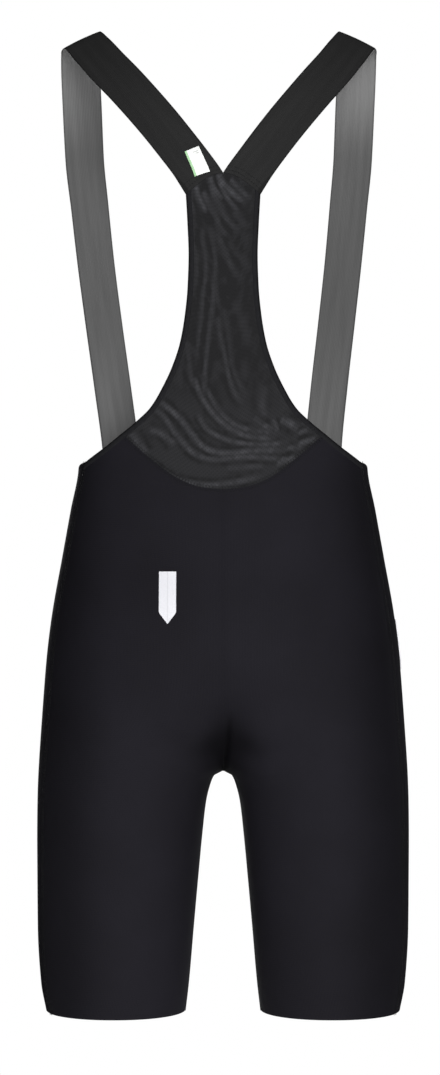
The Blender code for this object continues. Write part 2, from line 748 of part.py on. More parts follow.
def make_straps():
    """Each strap is one band, from the yoke seam over the shoulder to the front's edge."""
    alongs = np.linspace(0, STRAP_LENGTH, STRAP_ROWS + 1)
    sides = np.linspace(-1, 1, STRAP_COLUMNS + 1)
    found = [[strap_point(along, side) for side in sides] for along in alongs]
    points = np.array([[p for p, _ in row] for row in found])
    normals = np.array([[n for _, n in row] for row in found])
    shifts = np.array([[strap_shift(along)] * len(sides) for along in alongs])
    make_pair("strap", points, normals, STRAP_WALL, "strap_cloth", STRAP_CLOTH, shifts)


def tab_outline():
    """Rows of a tab with a pointed foot: distance down from its top and half width there."""
    width, length = TAB_SIZE
    square = length - TAB_POINT
    return [(square * k / TAB_ROWS, width / 2) for k in range(TAB_ROWS + 1)] + [(length, 0.0)]


def make_tab(name, surface):
    """A reflective tab that lies on the cloth. surface gives a point and normal of it."""
    points, normals = [], []
    sides = (-1, 0, 1)
    places = [(side * half, down) for down, half in tab_outline()[:-1] for side in sides]
    for across, down in [*places, (0, TAB_SIZE[1])]:
        point, out = surface(across, down)
        points.append(point + out * (TAB_CLEARANCE + TAB_WALL))
        normals.append(out)
    faces = patch_faces(len(places) // len(sides), len(sides))
    tip = len(points) - 1
    faces += [[tip - 3, tip - 2, tip], [tip - 2, tip - 1, tip]]
    wall(name, points, normals, faces, TAB_WALL, "reflective", REFLECTIVE)


def back_tab_surface(across, down):
    x, height = BACK_TAB_TOP[0] + across, BACK_TAB_TOP[1] - down
    return back_point(x, height), back_normal(x, height)


def side_depth(y, height):
    """How far out the side lies, this far in front of the middle plane."""
    bend = FRONT_ROUNDNESS if y > 0 else BACK_ROUNDNESS
    share = abs(y) / smooth(TORSO, "front" if y > 0 else "back", height)
    return smooth(TORSO, "half_width", height) * (1 - share**bend) ** (1 / bend)


def side_tab_surface(across, down):
    y, height = SIDE_TAB_TOP[0] + across, SIDE_TAB_TOP[1] - down
    slope_y = (side_depth(y - STEP, height) - side_depth(y + STEP, height)) / (2 * STEP)
    slope_up = (side_depth(y, height - STEP) - side_depth(y, height + STEP)) / (2 * STEP)
    return place(side_depth(y, height), y, height), unit(np.array((1.0, slope_y, slope_up)))


def make_label():
    """The woven label, sewn into the yoke seam and lying on the left strap."""
    width, length = LABEL_SIZE
    cos, sin = math.cos(LABEL_TURN), math.sin(LABEL_TURN)
    points, normals = [], []
    for up in spread(-length / 2, length / 2, LABEL_ROWS):
        for side in spread(-width / 2, width / 2, LABEL_COLUMNS):
            along = LABEL_AT[0] + up * cos + side * sin
            across = LABEL_AT[1] + side * cos - up * sin
            point, out = strap_point(along, across / (STRAP_WIDTH / 2))
            points.append(point + strap_shift(along) + out * (SEAM_GAP + TAB_WALL))
            normals.append(out)
    faces = patch_faces(LABEL_ROWS + 1, LABEL_COLUMNS + 1)
    wall("neck_label", points, normals, faces, TAB_WALL, "label_cloth", LABEL_CLOTH)


def main():
    clear_scene()
    make_back_panel()
    make_side_panels()
    make_front_panels()
    make_mesh_panel()
    make_bindings()
    make_straps()
    make_tab("tab_back", back_tab_surface)
    make_tab("tab_side", side_tab_surface)
    make_label()


main()
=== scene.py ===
import math
from functools import partial

import bpy
import numpy as np
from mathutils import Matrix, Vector


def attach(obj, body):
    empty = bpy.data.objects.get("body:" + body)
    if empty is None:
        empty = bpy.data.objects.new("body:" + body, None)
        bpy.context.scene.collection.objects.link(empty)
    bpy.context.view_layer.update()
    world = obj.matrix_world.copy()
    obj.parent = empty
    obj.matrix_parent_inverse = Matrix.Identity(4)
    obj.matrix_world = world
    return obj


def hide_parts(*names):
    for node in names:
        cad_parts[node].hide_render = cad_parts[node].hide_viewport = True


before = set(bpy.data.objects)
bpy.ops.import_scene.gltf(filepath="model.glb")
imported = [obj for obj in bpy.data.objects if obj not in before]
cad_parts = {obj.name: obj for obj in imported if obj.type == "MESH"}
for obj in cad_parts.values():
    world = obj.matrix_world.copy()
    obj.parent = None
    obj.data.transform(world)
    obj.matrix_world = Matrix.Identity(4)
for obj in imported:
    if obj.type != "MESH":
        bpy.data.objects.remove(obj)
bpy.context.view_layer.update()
print("frame loaded:", len(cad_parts), "nodes")


def linearColour(hexColour):
    # sRGB hex to the linear values that Blender's sockets take
    channels = [int(hexColour[k:k + 2], 16) / 255 for k in (1, 3, 5)]
    return (*(c / 12.92 if c <= 0.04045 else ((c + 0.055) / 1.055) ** 2.4 for c in channels), 1.0)


def fillSockets(tree, node, inputs):
    # gives each socket a value, a hex colour, another socket or a node's first output
    for key, value in inputs.items():
        socket = node.inputs[key]
        if isinstance(value, bpy.types.Node):
            value = value.outputs[0]
        if isinstance(value, bpy.types.NodeSocket):
            tree.links.new(value, socket)
            continue
        if isinstance(value, str) and value.startswith("#"):
            value = linearColour(value)[:len(socket.default_value)]
        socket.default_value = value


def addNode(tree, kind, *values, **settings):
    # a node of a kind, and after a space its operation; without "Node" in its name it is a shader node.
    # The values fill its sockets in order, or by name or number where they come in a dictionary
    kind, *operation = kind.split(" ")
    node = tree.nodes.new(kind if "Node" in kind else "ShaderNode" + kind)
    for name, value in (*settings.items(), *(("operation", word) for word in operation)):
        setattr(node, name, value)
    named = values and isinstance(values[0], dict)
    fillSockets(tree, node, values[0] if named else dict(enumerate(values)))
    return node


def newMaterial(name, finish):
    # the material, and what adds a node to it
    material = bpy.data.materials.new(name)
    material.use_nodes = True
    tree = material.node_tree
    fillSockets(tree, tree.nodes["Principled BSDF"],
                {"Roughness": finish["roughness"], "Specular IOR Level": finish["specular"]})
    return material, partial(addNode, tree)


def finishMaterial(material, colour, height=None, finish=None):
    # its colour, and its relief where it has one
    tree, inputs = material.node_tree, {"Base Color": colour}
    if finish:
        inputs["Normal"] = addNode(tree, "Bump", {"Height": height, "Strength": finish["bump"],
                                                  "Distance": finish["depth"]})
    fillSockets(tree, tree.nodes["Principled BSDF"], inputs)
    return material


# Metres, +Z up. The garment's back faces -Y, where the camera stands, and its left is at -X.
studio = {
    "cameraAt": (-0.0029, -2.8, -0.4745),
    "halfHeightSeen": 0.516,  # at the garment's middle plane
    "sensor": 24, "clip": (0.05, 50),
    "floorHeight": -1.5,  # where a standing wearer's feet would be
    "floorRadius": 2.6, "floorSides": 96, "paper": "#F4F4F3", "roughness": 0.9, "specular": 0.5,
    "roomLight": 0.035,
    "aim": (0, 0, -0.5),
    # name, place, size, power and colour of each lamp
    "lamps": (
        ("backSoftbox", (0.42, -3.1, 0.00), 1.2, 104, "#FFFFFF"),
        ("backFill", (-1.2, -2.9, -0.4), 1.4, 7, "#F8F9FF"),
        ("frontSoftbox", (-0.7, 3.0, 0.2), 1.4, 92, "#FFFFFF"),
        ("frontFill", (1.5, 2.6, -0.3), 1.4, 14, "#F8F9FF"),
        ("overhead", (0.0, 0.0, 2.4), 2.4, 14, "#FFFFFF"),
    ),
}


def addObject(name, data):
    item = bpy.data.objects.new(name, data)
    bpy.context.scene.collection.objects.link(item)
    return item


def setUpStudio():
    scene = bpy.context.scene
    lens = bpy.data.cameras.new("camera")
    lens.sensor_fit, lens.sensor_height = "VERTICAL", studio["sensor"]
    lens.lens = lens.sensor_height / 2 * abs(studio["cameraAt"][1]) / studio["halfHeightSeen"]
    lens.clip_start, lens.clip_end = studio["clip"]
    scene.camera = addObject("camera", lens)
    scene.camera.location = studio["cameraAt"]
    scene.camera.rotation_euler = (math.pi / 2, 0, 0)

    for name, place, size, power, colour in studio["lamps"]:
        lamp = bpy.data.lights.new(name, "AREA")
        lamp.shape, lamp.size, lamp.energy, lamp.color = "SQUARE", size, power, linearColour(colour)[:3]
        holder = addObject(name, lamp)
        holder.location = place
        holder.rotation_euler = (Vector(studio["aim"]) - Vector(place)).to_track_quat("-Z", "Y").to_euler()

    # white behind the garment, and a softer, evenly grey room that lights it
    scene.world = bpy.data.worlds.new("room")
    scene.world.use_nodes = True
    tree = scene.world.node_tree
    tree.nodes.clear()
    seen = addNode(tree, "LightPath").outputs["Is Camera Ray"]
    grey, white = (addNode(tree, "Background", (1, 1, 1, 1), strength)
                   for strength in (studio["roomLight"], 1.0))
    addNode(tree, "OutputWorld", addNode(tree, "MixShader", seen, grey, white))
    scene.view_settings.view_transform = "Standard"

    # the floor is a round of pale paper
    count, radius = studio["floorSides"], studio["floorRadius"]
    turns = [2 * math.pi * k / count for k in range(count)]
    ring = [(radius * math.cos(a), radius * math.sin(a), studio["floorHeight"]) for a in turns]
    mesh = bpy.data.meshes.new("floor")
    mesh.from_pydata(ring, [], [list(range(count))])
    mesh.materials.append(finishMaterial(newMaterial("matte paper floor", studio)[0], studio["paper"]))
    floor = addObject("floor", mesh)


setUpStudio()
print("studio ready")

# The form of the garment, with the same numbers as the part's source. Heights are above the crotch.
shoulderHeight = 0.6975  # from the crotch up to the underside of the straps, which is z = 0
# Sections of the body: height, half width, depth behind and before the middle plane.
torsoRows = np.array((
    (0.000, 0.1770, 0.0980, 0.0950),
    (0.055, 0.1733, 0.1085, 0.0985),
    (0.110, 0.1690, 0.1150, 0.1010),
    (0.150, 0.1640, 0.1130, 0.1020),
    (0.200, 0.1550, 0.1015, 0.1012),
    (0.250, 0.1460, 0.0910, 0.0995),
    (0.290, 0.1386, 0.0868, 0.0980),
    (0.330, 0.1375, 0.0865, 0.0985),
    (0.390, 0.1450, 0.0910, 0.1020),
    (0.460, 0.1560, 0.0985, 0.1080),
    (0.540, 0.1650, 0.1060, 0.1100),
    (0.610, 0.1680, 0.1070, 0.1000),
))
# Sections of one leg: height, inner and outer distance from the middle, depth behind and before.
legRows = np.array((
    (-0.2297, 0.0360, 0.1695, 0.0660, 0.0730),
    (-0.203, 0.0329, 0.1745, 0.0675, 0.0765),
    (-0.150, 0.0283, 0.1777, 0.0705, 0.0830),
    (-0.100, 0.0238, 0.1781, 0.0755, 0.0880),
    (-0.060, 0.0200, 0.1783, 0.0800, 0.0915),
    (-0.030, 0.0165, 0.1780, 0.0840, 0.0925),
    (-0.012, 0.0120, 0.1776, 0.0866, 0.0928),
    (-0.0058, 0.0093, 0.1773, 0.0874, 0.0929),
    (-0.0023, 0.0060, 0.1771, 0.0880, 0.0929),
    (0.000, 0.0000, 0.1770, 0.0883, 0.0930),
    (0.055, 0.0000, 0.1733, 0.0965, 0.0940),
    (0.110, 0.0000, 0.1690, 0.1030, 0.0950),
))
# The back's free edge: height and distance from the middle.
backEdgeRows = np.array((
    (0.2885, 0.1400), (0.2930, 0.1333), (0.2990, 0.1248), (0.3090, 0.1104), (0.3200, 0.0962),
    (0.3310, 0.0822), (0.3440, 0.0684), (0.3620, 0.0572), (0.3830, 0.0472), (0.4050, 0.0400),
    (0.4300, 0.0356), (0.4550, 0.0331), (0.4850, 0.0321), (0.5150, 0.0332), (0.5400, 0.0346),
))
# Seams and edges: distance from the middle and height.
meshSeamRows = np.array((
    (0.0000, 0.2676), (0.0200, 0.2696), (0.0420, 0.2779), (0.0670, 0.2957), (0.0890, 0.3147),
    (0.1050, 0.3290),
))
yokeArchRows = np.array((
    (0.0000, 0.5602), (0.0090, 0.5583), (0.0180, 0.5535), (0.0270, 0.5467), (0.0346, 0.5400),
))
frontEdgeRows = np.array((
    (0.0000, 0.2280), (0.0300, 0.2325), (0.0580, 0.2480), (0.0800, 0.2685), (0.0990, 0.2800),
    (0.1180, 0.2840), (0.1400, 0.2850),
))
form = {
    "backRoundness": 2.2, "frontRoundness": 2.6, "legRoundness": 2.1, "crotchRoundness": 2.2,
    "cleftWidth": 0.034, "cleftDepth": 0.009, "cleftRise": 0.045, "seatDepth": 0.1,
    "hipHeight": 0.110, "frontRise": 0.085, "riseSpread": 0.34, "gussetSpread": 0.22,
    "sideBack": (0.430, 0.4275), "sideFront": (0.560, 0.560),  # at the leg and at the hip
    "seamTurn": (-0.02, 0.12),  # where the side seams pass from one to the other, and over how much
    "bindingWidth": 0.0050,
    "wall": 0.0016, "meshWall": 0.0012, "strapWall": 0.0015, "tabWall": 0.0008,
}
hemHeight = legRows[0, 0]
mirror = np.array((-1, 1, 1))


def smooth(rows, column, at):
    # the column's value on a smooth curve through the rows, whose first column rises
    places, values = rows[:, 0], rows[:, column]
    steps = np.diff(values) / np.diff(places)
    before, after = steps[:-1], steps[1:]
    product, total = before * after, before + after
    inner = np.where(product > 0, 2 * product / np.where(product > 0, total, 1), 0)
    slopes = np.concatenate([steps[:1], inner, steps[-1:]])
    at = np.clip(at, places[0], places[-1])
    k = np.clip(np.searchsorted(places, at, side="right") - 1, 0, len(places) - 2)
    span = places[k + 1] - places[k]
    t = (at - places[k]) / span
    return ((1 + 2 * t) * (1 - t) ** 2 * values[k] + t * (1 - t) ** 2 * span * slopes[k]
            + t * t * (3 - 2 * t) * values[k + 1] + t * t * (t - 1) * span * slopes[k + 1])


def ease(t):
    t = np.clip(t, 0.0, 1.0)
    return t * t * (3 - 2 * t)


def signedPower(value, exponent):
    return np.sign(value) * np.abs(value) ** exponent


def stack(x, y, height):
    x, y, height = np.broadcast_arrays(x, y, height)
    return np.stack([x, y, height - shoulderHeight], axis=-1).astype(float)


def unit(vectors):
    return vectors / np.maximum(np.linalg.norm(vectors, axis=-1, keepdims=True), 1e-12)


def lengthsAlong(points, axis=0):
    # how long the way from the first point is, down or across a grid of points
    steps = np.linalg.norm(np.diff(points, axis=axis), axis=-1)
    return np.concatenate([np.zeros_like(steps.take([0], axis)), np.cumsum(steps, axis=axis)], axis=axis)


def cleft(away, height):
    rise = np.exp(-(((height - form["cleftRise"]) / form["cleftRise"]) ** 2))
    return 1 - form["cleftDepth"] / form["seatDepth"] * rise * np.exp(-((away / form["cleftWidth"]) ** 2))


def acrossShare(share):
    return (1 - signedPower(np.cos(2 * np.pi * share), 2 / form["legRoundness"])) / 2


def hipPoint(share, height):
    atBack = share < 0.5
    part = np.minimum(acrossShare(share), 1.0)
    bend = np.where(atBack, form["backRoundness"], form["frontRoundness"])
    x = -smooth(torsoRows, 1, height) * part
    depth = np.where(atBack, smooth(torsoRows, 2, height), smooth(torsoRows, 3, height))
    y = depth * (1 - part**bend) ** (1 / bend)
    return x, np.where(atBack, -y * cleft(np.abs(x), height), y)


def legPoint(share, height):
    inner, outer = smooth(legRows, 1, height), smooth(legRows, 2, height)
    depth = np.where(share < 0.5, smooth(legRows, 3, height), smooth(legRows, 4, height))
    y = -depth * signedPower(np.sin(2 * np.pi * share), 2 / form["legRoundness"])
    return -inner - (outer - inner) * acrossShare(share), y


def backDepth(away, height):
    share = np.minimum(np.abs(away) / smooth(torsoRows, 1, height), 1.0)
    depth = smooth(torsoRows, 2, height) * cleft(np.abs(away), height)
    return depth * (1 - share ** form["backRoundness"]) ** (1 / form["backRoundness"])


def slopes(depth, x, height, step=1e-4):
    # how a depth falls off across and upwards
    return [(depth(x - a, height - b) - depth(x + a, height + b)) / (2 * step)
            for a, b in ((step, 0), (0, step))]


def backSurface(x, height):
    # points and normals of the body's back
    across, up = slopes(backDepth, x, height)
    out = unit(np.stack(np.broadcast_arrays(across, -1.0, up), axis=-1))
    return stack(x, -backDepth(x, height), height), out


def cutLine(line, room):
    # a flat line in two parts, where room turns negative; both hold the cut's point
    rooms = room(line[:, 0], line[:, 1])
    k = int(np.argmax(rooms < 0))
    share = rooms[k - 1] / (rooms[k - 1] - rooms[k])
    cut = line[k - 1] + (line[k] - line[k - 1]) * share
    return np.concatenate([line[:k], [cut]]), np.concatenate([[cut], line[k:]])


def edgeLines():
    # the back's free edge and the line where its binding starts, from the top to the side seam
    heights = np.linspace(backEdgeRows[-1, 0], backEdgeRows[0, 0], 200)
    line = np.stack([smooth(backEdgeRows, 1, heights), heights], axis=1)
    along = np.abs(np.gradient(line, axis=0))
    inwards = -along[:, ::-1] / np.linalg.norm(along, axis=1)[:, None]
    beforeSide = lambda away, height: np.abs(hipPoint(form["sideBack"][1], height)[0]) - away
    return [cutLine(part, beforeSide)[0] for part in (line, line + inwards * form["bindingWidth"])]


edgeLine, bindingLine = edgeLines()
_, waistLine = cutLine(bindingLine, lambda away, up: up - smooth(meshSeamRows, 1, away))
corner = waistLine[0]  # where the mesh's lower seam runs into the binding


def backEdgeHeight(away):
    past = np.interp(away, waistLine[:, 0], waistLine[:, 1])
    return np.where(away <= corner[0], smooth(meshSeamRows, 1, away), past)


def settle(share, edge, guess=0.28, rounds=12):
    # the height at which this column of the hips meets an edge given by distance from the middle
    height = np.full_like(share, guess, dtype=float)
    for _ in range(rounds):
        height = edge(np.abs(hipPoint(share, height)[0]))
    return height


def backTop(share):
    return settle(share, backEdgeHeight)


def frontTop(share):
    return settle(share, lambda away: smooth(frontEdgeRows, 1, away))


def sideTop(share):
    way = (share - form["sideBack"][1]) / (form["sideFront"][1] - form["sideBack"][1])
    outer = edgeLine[-1, 1]
    return outer + (frontTop(np.full_like(share, form["sideFront"][1])) - outer) * ease(way)


def trunk(share, level, top):
    # a point of the left half: level 0 is the hem, 1 the crotch, 2 the hip and 3 the top
    share, level = np.broadcast_arrays(np.asarray(share, float), np.asarray(level, float))
    share = np.where(level <= 1, share % 1.0, share)
    flip = (share < 0) | (share > 1)
    share = np.where(share < 0, -share, np.where(share > 1, 2 - share, share))
    legHeight = hemHeight * (1 - np.minimum(level, 1))
    leg = stack(*legPoint(share, legHeight), legHeight)
    hip = form["hipHeight"]
    hipHeight = hip + (np.maximum(level, 2) - 2) * (top(share) - hip)
    upper = stack(*hipPoint(share, hipHeight), hipHeight)
    points = np.where((level <= 1)[..., None], leg, upper)
    between = crotchPoint(share, np.clip(level - 1, 0, 1) * np.pi / 2)
    points = np.where(((level > 1) & (level < 2))[..., None], between, points)
    points[..., 0] *= np.where(flip, -1, 1)
    return points


def crotchPoint(share, turn):
    bend = 2 / form["crotchRoundness"]
    way = turn / (np.pi / 2)
    rise = 1 - np.maximum(np.cos(turn), 0.0) ** bend
    hip = form["hipHeight"]
    low = np.where(share < 0.5, hip, form["frontRise"])
    middle = rise * low + (hip - low) * ease(way)
    fromMiddle = np.where(share < 0.5, share, 1 - share)
    height = hip * way + (middle - hip * way) * (1 - ease(fromMiddle / form["riseSpread"]))
    under = 1 - ease(fromMiddle / form["gussetSpread"])
    hipPart = (ease(way) + (np.sin(turn) ** bend - ease(way)) * under)
    (legX, legY), (hipX, hipY) = legPoint(share, height), hipPoint(share, height)
    return stack(legX + (hipX - legX) * hipPart, legY + (hipY - legY) * hipPart, height)


def trunkNormal(share, level, top, small=0.004):
    roundIt = trunk(share + small, level, top) - trunk(share - small, level, top)
    up = trunk(share, np.minimum(level + small, 3), top) - trunk(share, np.maximum(level - small, 0), top)
    middle = (np.abs(level - 1) < 1e-6) & ((share < 1e-6) | (share > 1 - 1e-6))
    return np.where(middle[..., None], (0.0, 0.0, -1.0), unit(np.cross(up, roundIt)))


def finer(values, parts):
    # more steps between the values of a line
    values = np.asarray(values, float)
    at = np.arange(0, len(values) - 1 + 1e-9, 1 / parts)
    return np.interp(at, np.arange(len(values)), values)


# The rows of cloth: four for each row of the solid, and finer still where the folds meet.
legLevels = (0.0, 0.10, 0.21, 0.34, 0.47, 0.60, 0.715, 0.81, 0.89, 0.948, 0.975, 0.99, 1.0)
levels = finer([*legLevels, *(1 + k / 8 for k in range(1, 9)), *(2 + k / 7 for k in range(1, 8))], 4)
foldStart, foldEnd = (int(np.argmin(np.abs(levels - level))) for level in (0.975, 1.5))
levels = np.concatenate([levels[:foldStart], finer(levels[foldStart:foldEnd + 1], 3), levels[foldEnd + 1:]])
crotchRow = int(np.argmin(np.abs(levels - 1)))


def sideSeams(level):
    height = np.where(level <= 1, hemHeight * (1 - level), form["hipHeight"] * (level - 1))
    start, over = form["seamTurn"]
    way = ease((height - start) / over)
    return [seam[0] + (seam[1] - seam[0]) * way for seam in (form["sideBack"], form["sideFront"])]


def cornerShare(rounds=40):
    low, high = 0.0, form["sideBack"][1]
    for _ in range(rounds):
        middle = (low + high) / 2
        inside = abs(float(hipPoint(np.float64(middle), corner[1])[0])) < corner[0]
        low, high = (middle, high) if inside else (low, middle)
    return low


def spread(start, end, count):
    return start[:, None] + (end - start)[:, None] * np.linspace(0, 1, count + 1)


def eveningWeights(places, reach):
    # how much each place on a line takes from every other, by the distance between them
    gap = (places[:, None] - places[None]) / reach
    weights = np.exp(-gap**2 / 2) * np.gradient(places, axis=0)[None]
    return weights / weights.sum(axis=1, keepdims=True)


blendRows = {"low": -0.075, "high": 0.20, "fade": 0.035, "reach": 0.011, "middle": 0.07, "start": 0.15}


def gridFrom(shares, top):
    # points and normals of a patch of the left half, a row for each level, drawn smooth where the legs
    # grow into the hips
    level = np.broadcast_to(levels[:, None], shares.shape)
    points, normals = trunk(shares, level, top), trunkNormal(shares, level, top)
    height = points[..., 2] + shoulderHeight
    fromMiddle = np.minimum(shares, 1 - shares)
    fade = (ease((height - blendRows["low"]) / blendRows["fade"])
            * ease((blendRows["high"] - height) / blendRows["fade"])
            * ease(fromMiddle / blendRows["middle"] - blendRows["start"]))[..., None]
    weights = eveningWeights(lengthsAlong(points), blendRows["reach"])
    evened = [np.einsum("ijc,jck->ick", weights, values) for values in (points, normals)]
    return points + (evened[0] - points) * fade, unit(normals + (evened[1] - normals) * fade)


# Soft uneven creases that the worn cloth shows, each with painted shade along it: behind (1) or before (-1),
# depth, half width, how far it fades at its start and its end, how dark its painted shade is, the half width
# of that painted shade, and its line as x, height.
creases = (
    # between the seat's halves: a soft hollow and the sharper fold in it, leaning to the right
    (1, 0.004, 0.017, 0.3, 0.62, 0.72, 0.018, 0.001, -0.022, 0.003, 0.012, 0.0055, 0.048, 0.0064, 0.088),
    (1, 0.0024, 0.0036, 0.34, 0.34, 0.8, 0.0026, 0, -0.02, 0.0018, 0.01, 0.0042, 0.034, 0.0072, 0.064),
    # the cloth that turns under on both sides of it, in shade
    (1, 0.0007, 0.012, 0.5, 0.58, 0.6, 0.013, 0.006, 0.054, -0.007, 0.031, -0.022, 0.02, -0.04, 0.012),
    (1, 0.0006, 0.012, 0.5, 0.58, 0.56, 0.013, 0.007, 0.054, 0.018, 0.033, 0.033, 0.022, 0.048, 0.013),
    # faint pulls from the crotch out over the seat
    (1, 0.0006, 0.011, 0.3, 0.6, 0.1, 0.011, -0.016, 0.014, -0.042, 0.034, -0.078, 0.06),
    (1, 0.0005, 0.012, 0.3, 0.6, 0.08, 0.012, 0.02, 0.016, 0.05, 0.03, 0.086, 0.048),
    # before, along the groin, and below it over the thigh
    (-1, 0.0017, 0.01, 0.25, 0.45, 0.15, 0.01, -0.014, 0.026, -0.045, 0.052, -0.092, 0.09, -0.128, 0.116),
    (-1, 0.0015, 0.0105, 0.25, 0.45, 0.15, 0.0105, 0.014, 0.022, 0.05, 0.044, 0.1, 0.078, 0.138, 0.098),
    (-1, 0.001, 0.0085, 0.3, 0.5, 0.08, 0.0085, -0.016, 0.014, -0.044, 0.026, -0.082, 0.046),
    (-1, 0.0011, 0.008, 0.3, 0.5, 0.08, 0.008, 0.016, 0.016, 0.04, 0.03, 0.07, 0.056),
    (-1, 0.0007, 0.0085, 0.3, 0.5, 0.06, 0.0085, -0.024, 0.002, -0.05, 0.006, -0.086, 0.016),
    # before, where the belly's cloth slackens over the hip bones
    (-1, 0.0007, 0.012, 0.3, 0.5, 0.04, 0.012, 0.112, 0.205, 0.086, 0.18, 0.05, 0.168),
)
creaseFade = 0.020  # from the middle plane out, where creases behind and before give way
# Painted shade: the cloth is drawn darker as it turns away to the sides, where less light falls: from how far
# out, over how far.
sideShade = {"from": 0.095, "over": 0.055, "dark": 0.34}


def distanceToLine(points, line):
    # how far each point is from a chain of points, and how far along it the nearest place is, 0 to 1
    starts = lengthsAlong(line)
    best, along = np.full(points.shape[:-1], 1e9), np.zeros(points.shape[:-1])
    for a, b, start, length in zip(line[:-1], line[1:], starts, np.diff(starts)):
        t = np.clip(((points - a) @ (b - a)) / length**2, 0, 1)
        away = np.linalg.norm(points - (a + t[..., None] * (b - a)), axis=-1)
        nearer = away < best
        best = np.where(nearer, away, best)
        along = np.where(nearer, (start + t * length) / starts[-1], along)
    return best, along


def roundedChain(line, parts=6):
    # a chain of points bent smoothly through the given ones, which are x, height, x, height and so on
    line = np.reshape(line, (-1, 2)).astype(float)
    padded = np.concatenate([[2 * line[0] - line[1]], line, [2 * line[-1] - line[-2]]])
    found = []
    for k in range(1, len(padded) - 2):
        for t in np.arange(parts) / parts:
            a, b, c, d = padded[k - 1:k + 3]
            found.append(0.5 * (2 * b + (c - a) * t + (2 * a - 5 * b + 4 * c - d) * t**2
                                + (3 * b - a - 3 * c + d) * t**3))
    return np.array([*found, line[-1]])


def creased(points):
    # the points sunk into the creases, straight in, and how dark each place's painted shade is, in the
    # creases and towards the sides
    sunk = np.zeros(points.shape[:-1])
    dark = sideShade["dark"] * ease((np.abs(points[..., 0]) - sideShade["from"]) / sideShade["over"])
    places = points[..., (0, 2)] + (0, shoulderHeight)
    for behind, depth, width, fadeIn, fadeOut, shade, reach, *line in creases:
        away, along = distanceToLine(places, roundedChain(line))
        ends = ease(along / fadeIn) * ease((1 - along) / fadeOut)
        ends = ends * ease(-points[..., 1] * behind / creaseFade)
        sunk += behind * depth * ends * np.exp(-((away / width) ** 2))
        dark = 1 - (1 - dark) * (1 - shade * ends * np.exp(-((away / reach) ** 2)))
    return points + sunk[..., None] * (0, 1, 0), dark


def clothMap(points, middleColumn=0):
    # the cloth's own flat coordinates in metres: across from one column, and up from the first row
    across = lengthsAlong(points, 1)
    return np.stack([across - across[:, middleColumn][:, None], lengthsAlong(points)], axis=-1)


def gridFaces(rows, columns, first=0):
    starts = [first + r * columns + c for r in range(rows - 1) for c in range(columns - 1)]
    return [[v, v + 1, v + columns + 1, v + columns] for v in starts]


def flipped(faces):
    return [list(reversed(face)) for face in faces]


edgeLinesOf = {}  # each panel's edges, as points and normals, for the sewing


def keepEdges(name, points, normals):
    ends = {"first": np.s_[:, 0], "last": np.s_[:, -1], "bottom": np.s_[0], "top": np.s_[-1]}
    edgeLinesOf[name] = {end: (points[where], normals[where]) for end, where in ends.items()}


def addMesh(name, points, faces, flat, materials, sharpAngle):
    # a smooth mesh with its flat coordinates
    mesh = bpy.data.meshes.new(name)
    mesh.from_pydata(points.tolist(), [], faces)
    corners = np.zeros(len(mesh.loops), int)
    mesh.loops.foreach_get("vertex_index", corners)
    mesh.uv_layers.new(name="cloth").data.foreach_set("uv", flat[corners].astype(np.float32).ravel())
    for material in materials:
        mesh.materials.append(material)
    mesh.shade_smooth()
    mesh.set_sharp_from_angle(angle=math.radians(sharpAngle))
    return addObject(name, mesh)


def placePiece(piece):
    # a piece is named for the node it replaces and what it is made of
    node = piece.name.rpartition("_")[0]
    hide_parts(node)
    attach(piece, "root")
    return piece


cutEdge = {"width": 0.28, "segments": 2, "angle": 55, "sharpAngle": 50}  # its width is a share of the wall


def makeCloth(name, slot, points, normals, flat, wall, materials, values=None, faces=None):
    # a sheet as a thin shell: outer face, inner face in the second material, and a rounded cut edge
    faces = faces or gridFaces(*points.shape[:2])
    points, normals, flat = points.reshape(-1, 3), normals.reshape(-1, 3), flat.reshape(-1, 2)
    count, uses = len(points), {}
    for face in faces:
        for a, b in zip(face, face[1:] + face[:1]):
            uses.setdefault((min(a, b), max(a, b)), []).append((a, b))
    rim = [[b, a, a + count, b + count] for (a, b), in (s for s in uses.values() if len(s) == 1)]
    inner = [[v + count for v in reversed(face)] for face in faces]
    piece = addMesh(name, np.concatenate([points, points - normals * wall]), faces + inner + rim,
                    np.concatenate([flat, flat]), materials, cutEdge["sharpAngle"])
    for key, value in (values or {}).items():
        layer = piece.data.attributes.new(key, "FLOAT", "POINT")
        layer.data.foreach_set("value", np.tile(value.ravel(), 2).astype(np.float32))
    kinds = np.zeros(len(piece.data.polygons), int)
    kinds[len(faces):2 * len(faces)] = 1
    piece.data.polygons.foreach_set("material_index", kinds)
    edge = piece.modifiers.new("softenedCut", "BEVEL")
    edge.width, edge.segments, edge.limit_method = wall * cutEdge["width"], cutEdge["segments"], "ANGLE"
    edge.angle_limit, edge.harden_normals = math.radians(cutEdge["angle"]), False
    return placePiece(piece)


# In the materials, four numbers together are a pattern's lowest and highest value and the light that each
# gives. A share says how much a finer pattern adds to the relief.
def waveScale(pitch):
    # the wave texture runs 20 radians for each unit of its scale
    return math.pi / (10 * pitch)


# Warp-knit polyamide and elastane: nearly black with a cool cast, a matt sheen where it faces the light
# and a fine close knit. The real wales are 0.5 mm apart; 1.4 mm here, the finest that shows.
# its colour is darkened by painted shade in the creases and towards the sides; "fold" says how much
bodyCloth = {"dark": "#1A191D", "light": "#1E1D22", "fold": 0.84, "walePitch": 0.0014, "coursePitch": 0.0018,
             "lean": 1.6, "courseShare": 0.6, "grooves": (0.0, 1.6, 0.93, 1.05), "patches": 9.0,
             "uneven": (0.3, 0.7, 0.0, 1.0), "fuzz": 2200.0, "fuzzShare": 0.6, "bump": 0.6, "depth": 0.00008,
             "roughness": 0.70, "specular": 0.03}


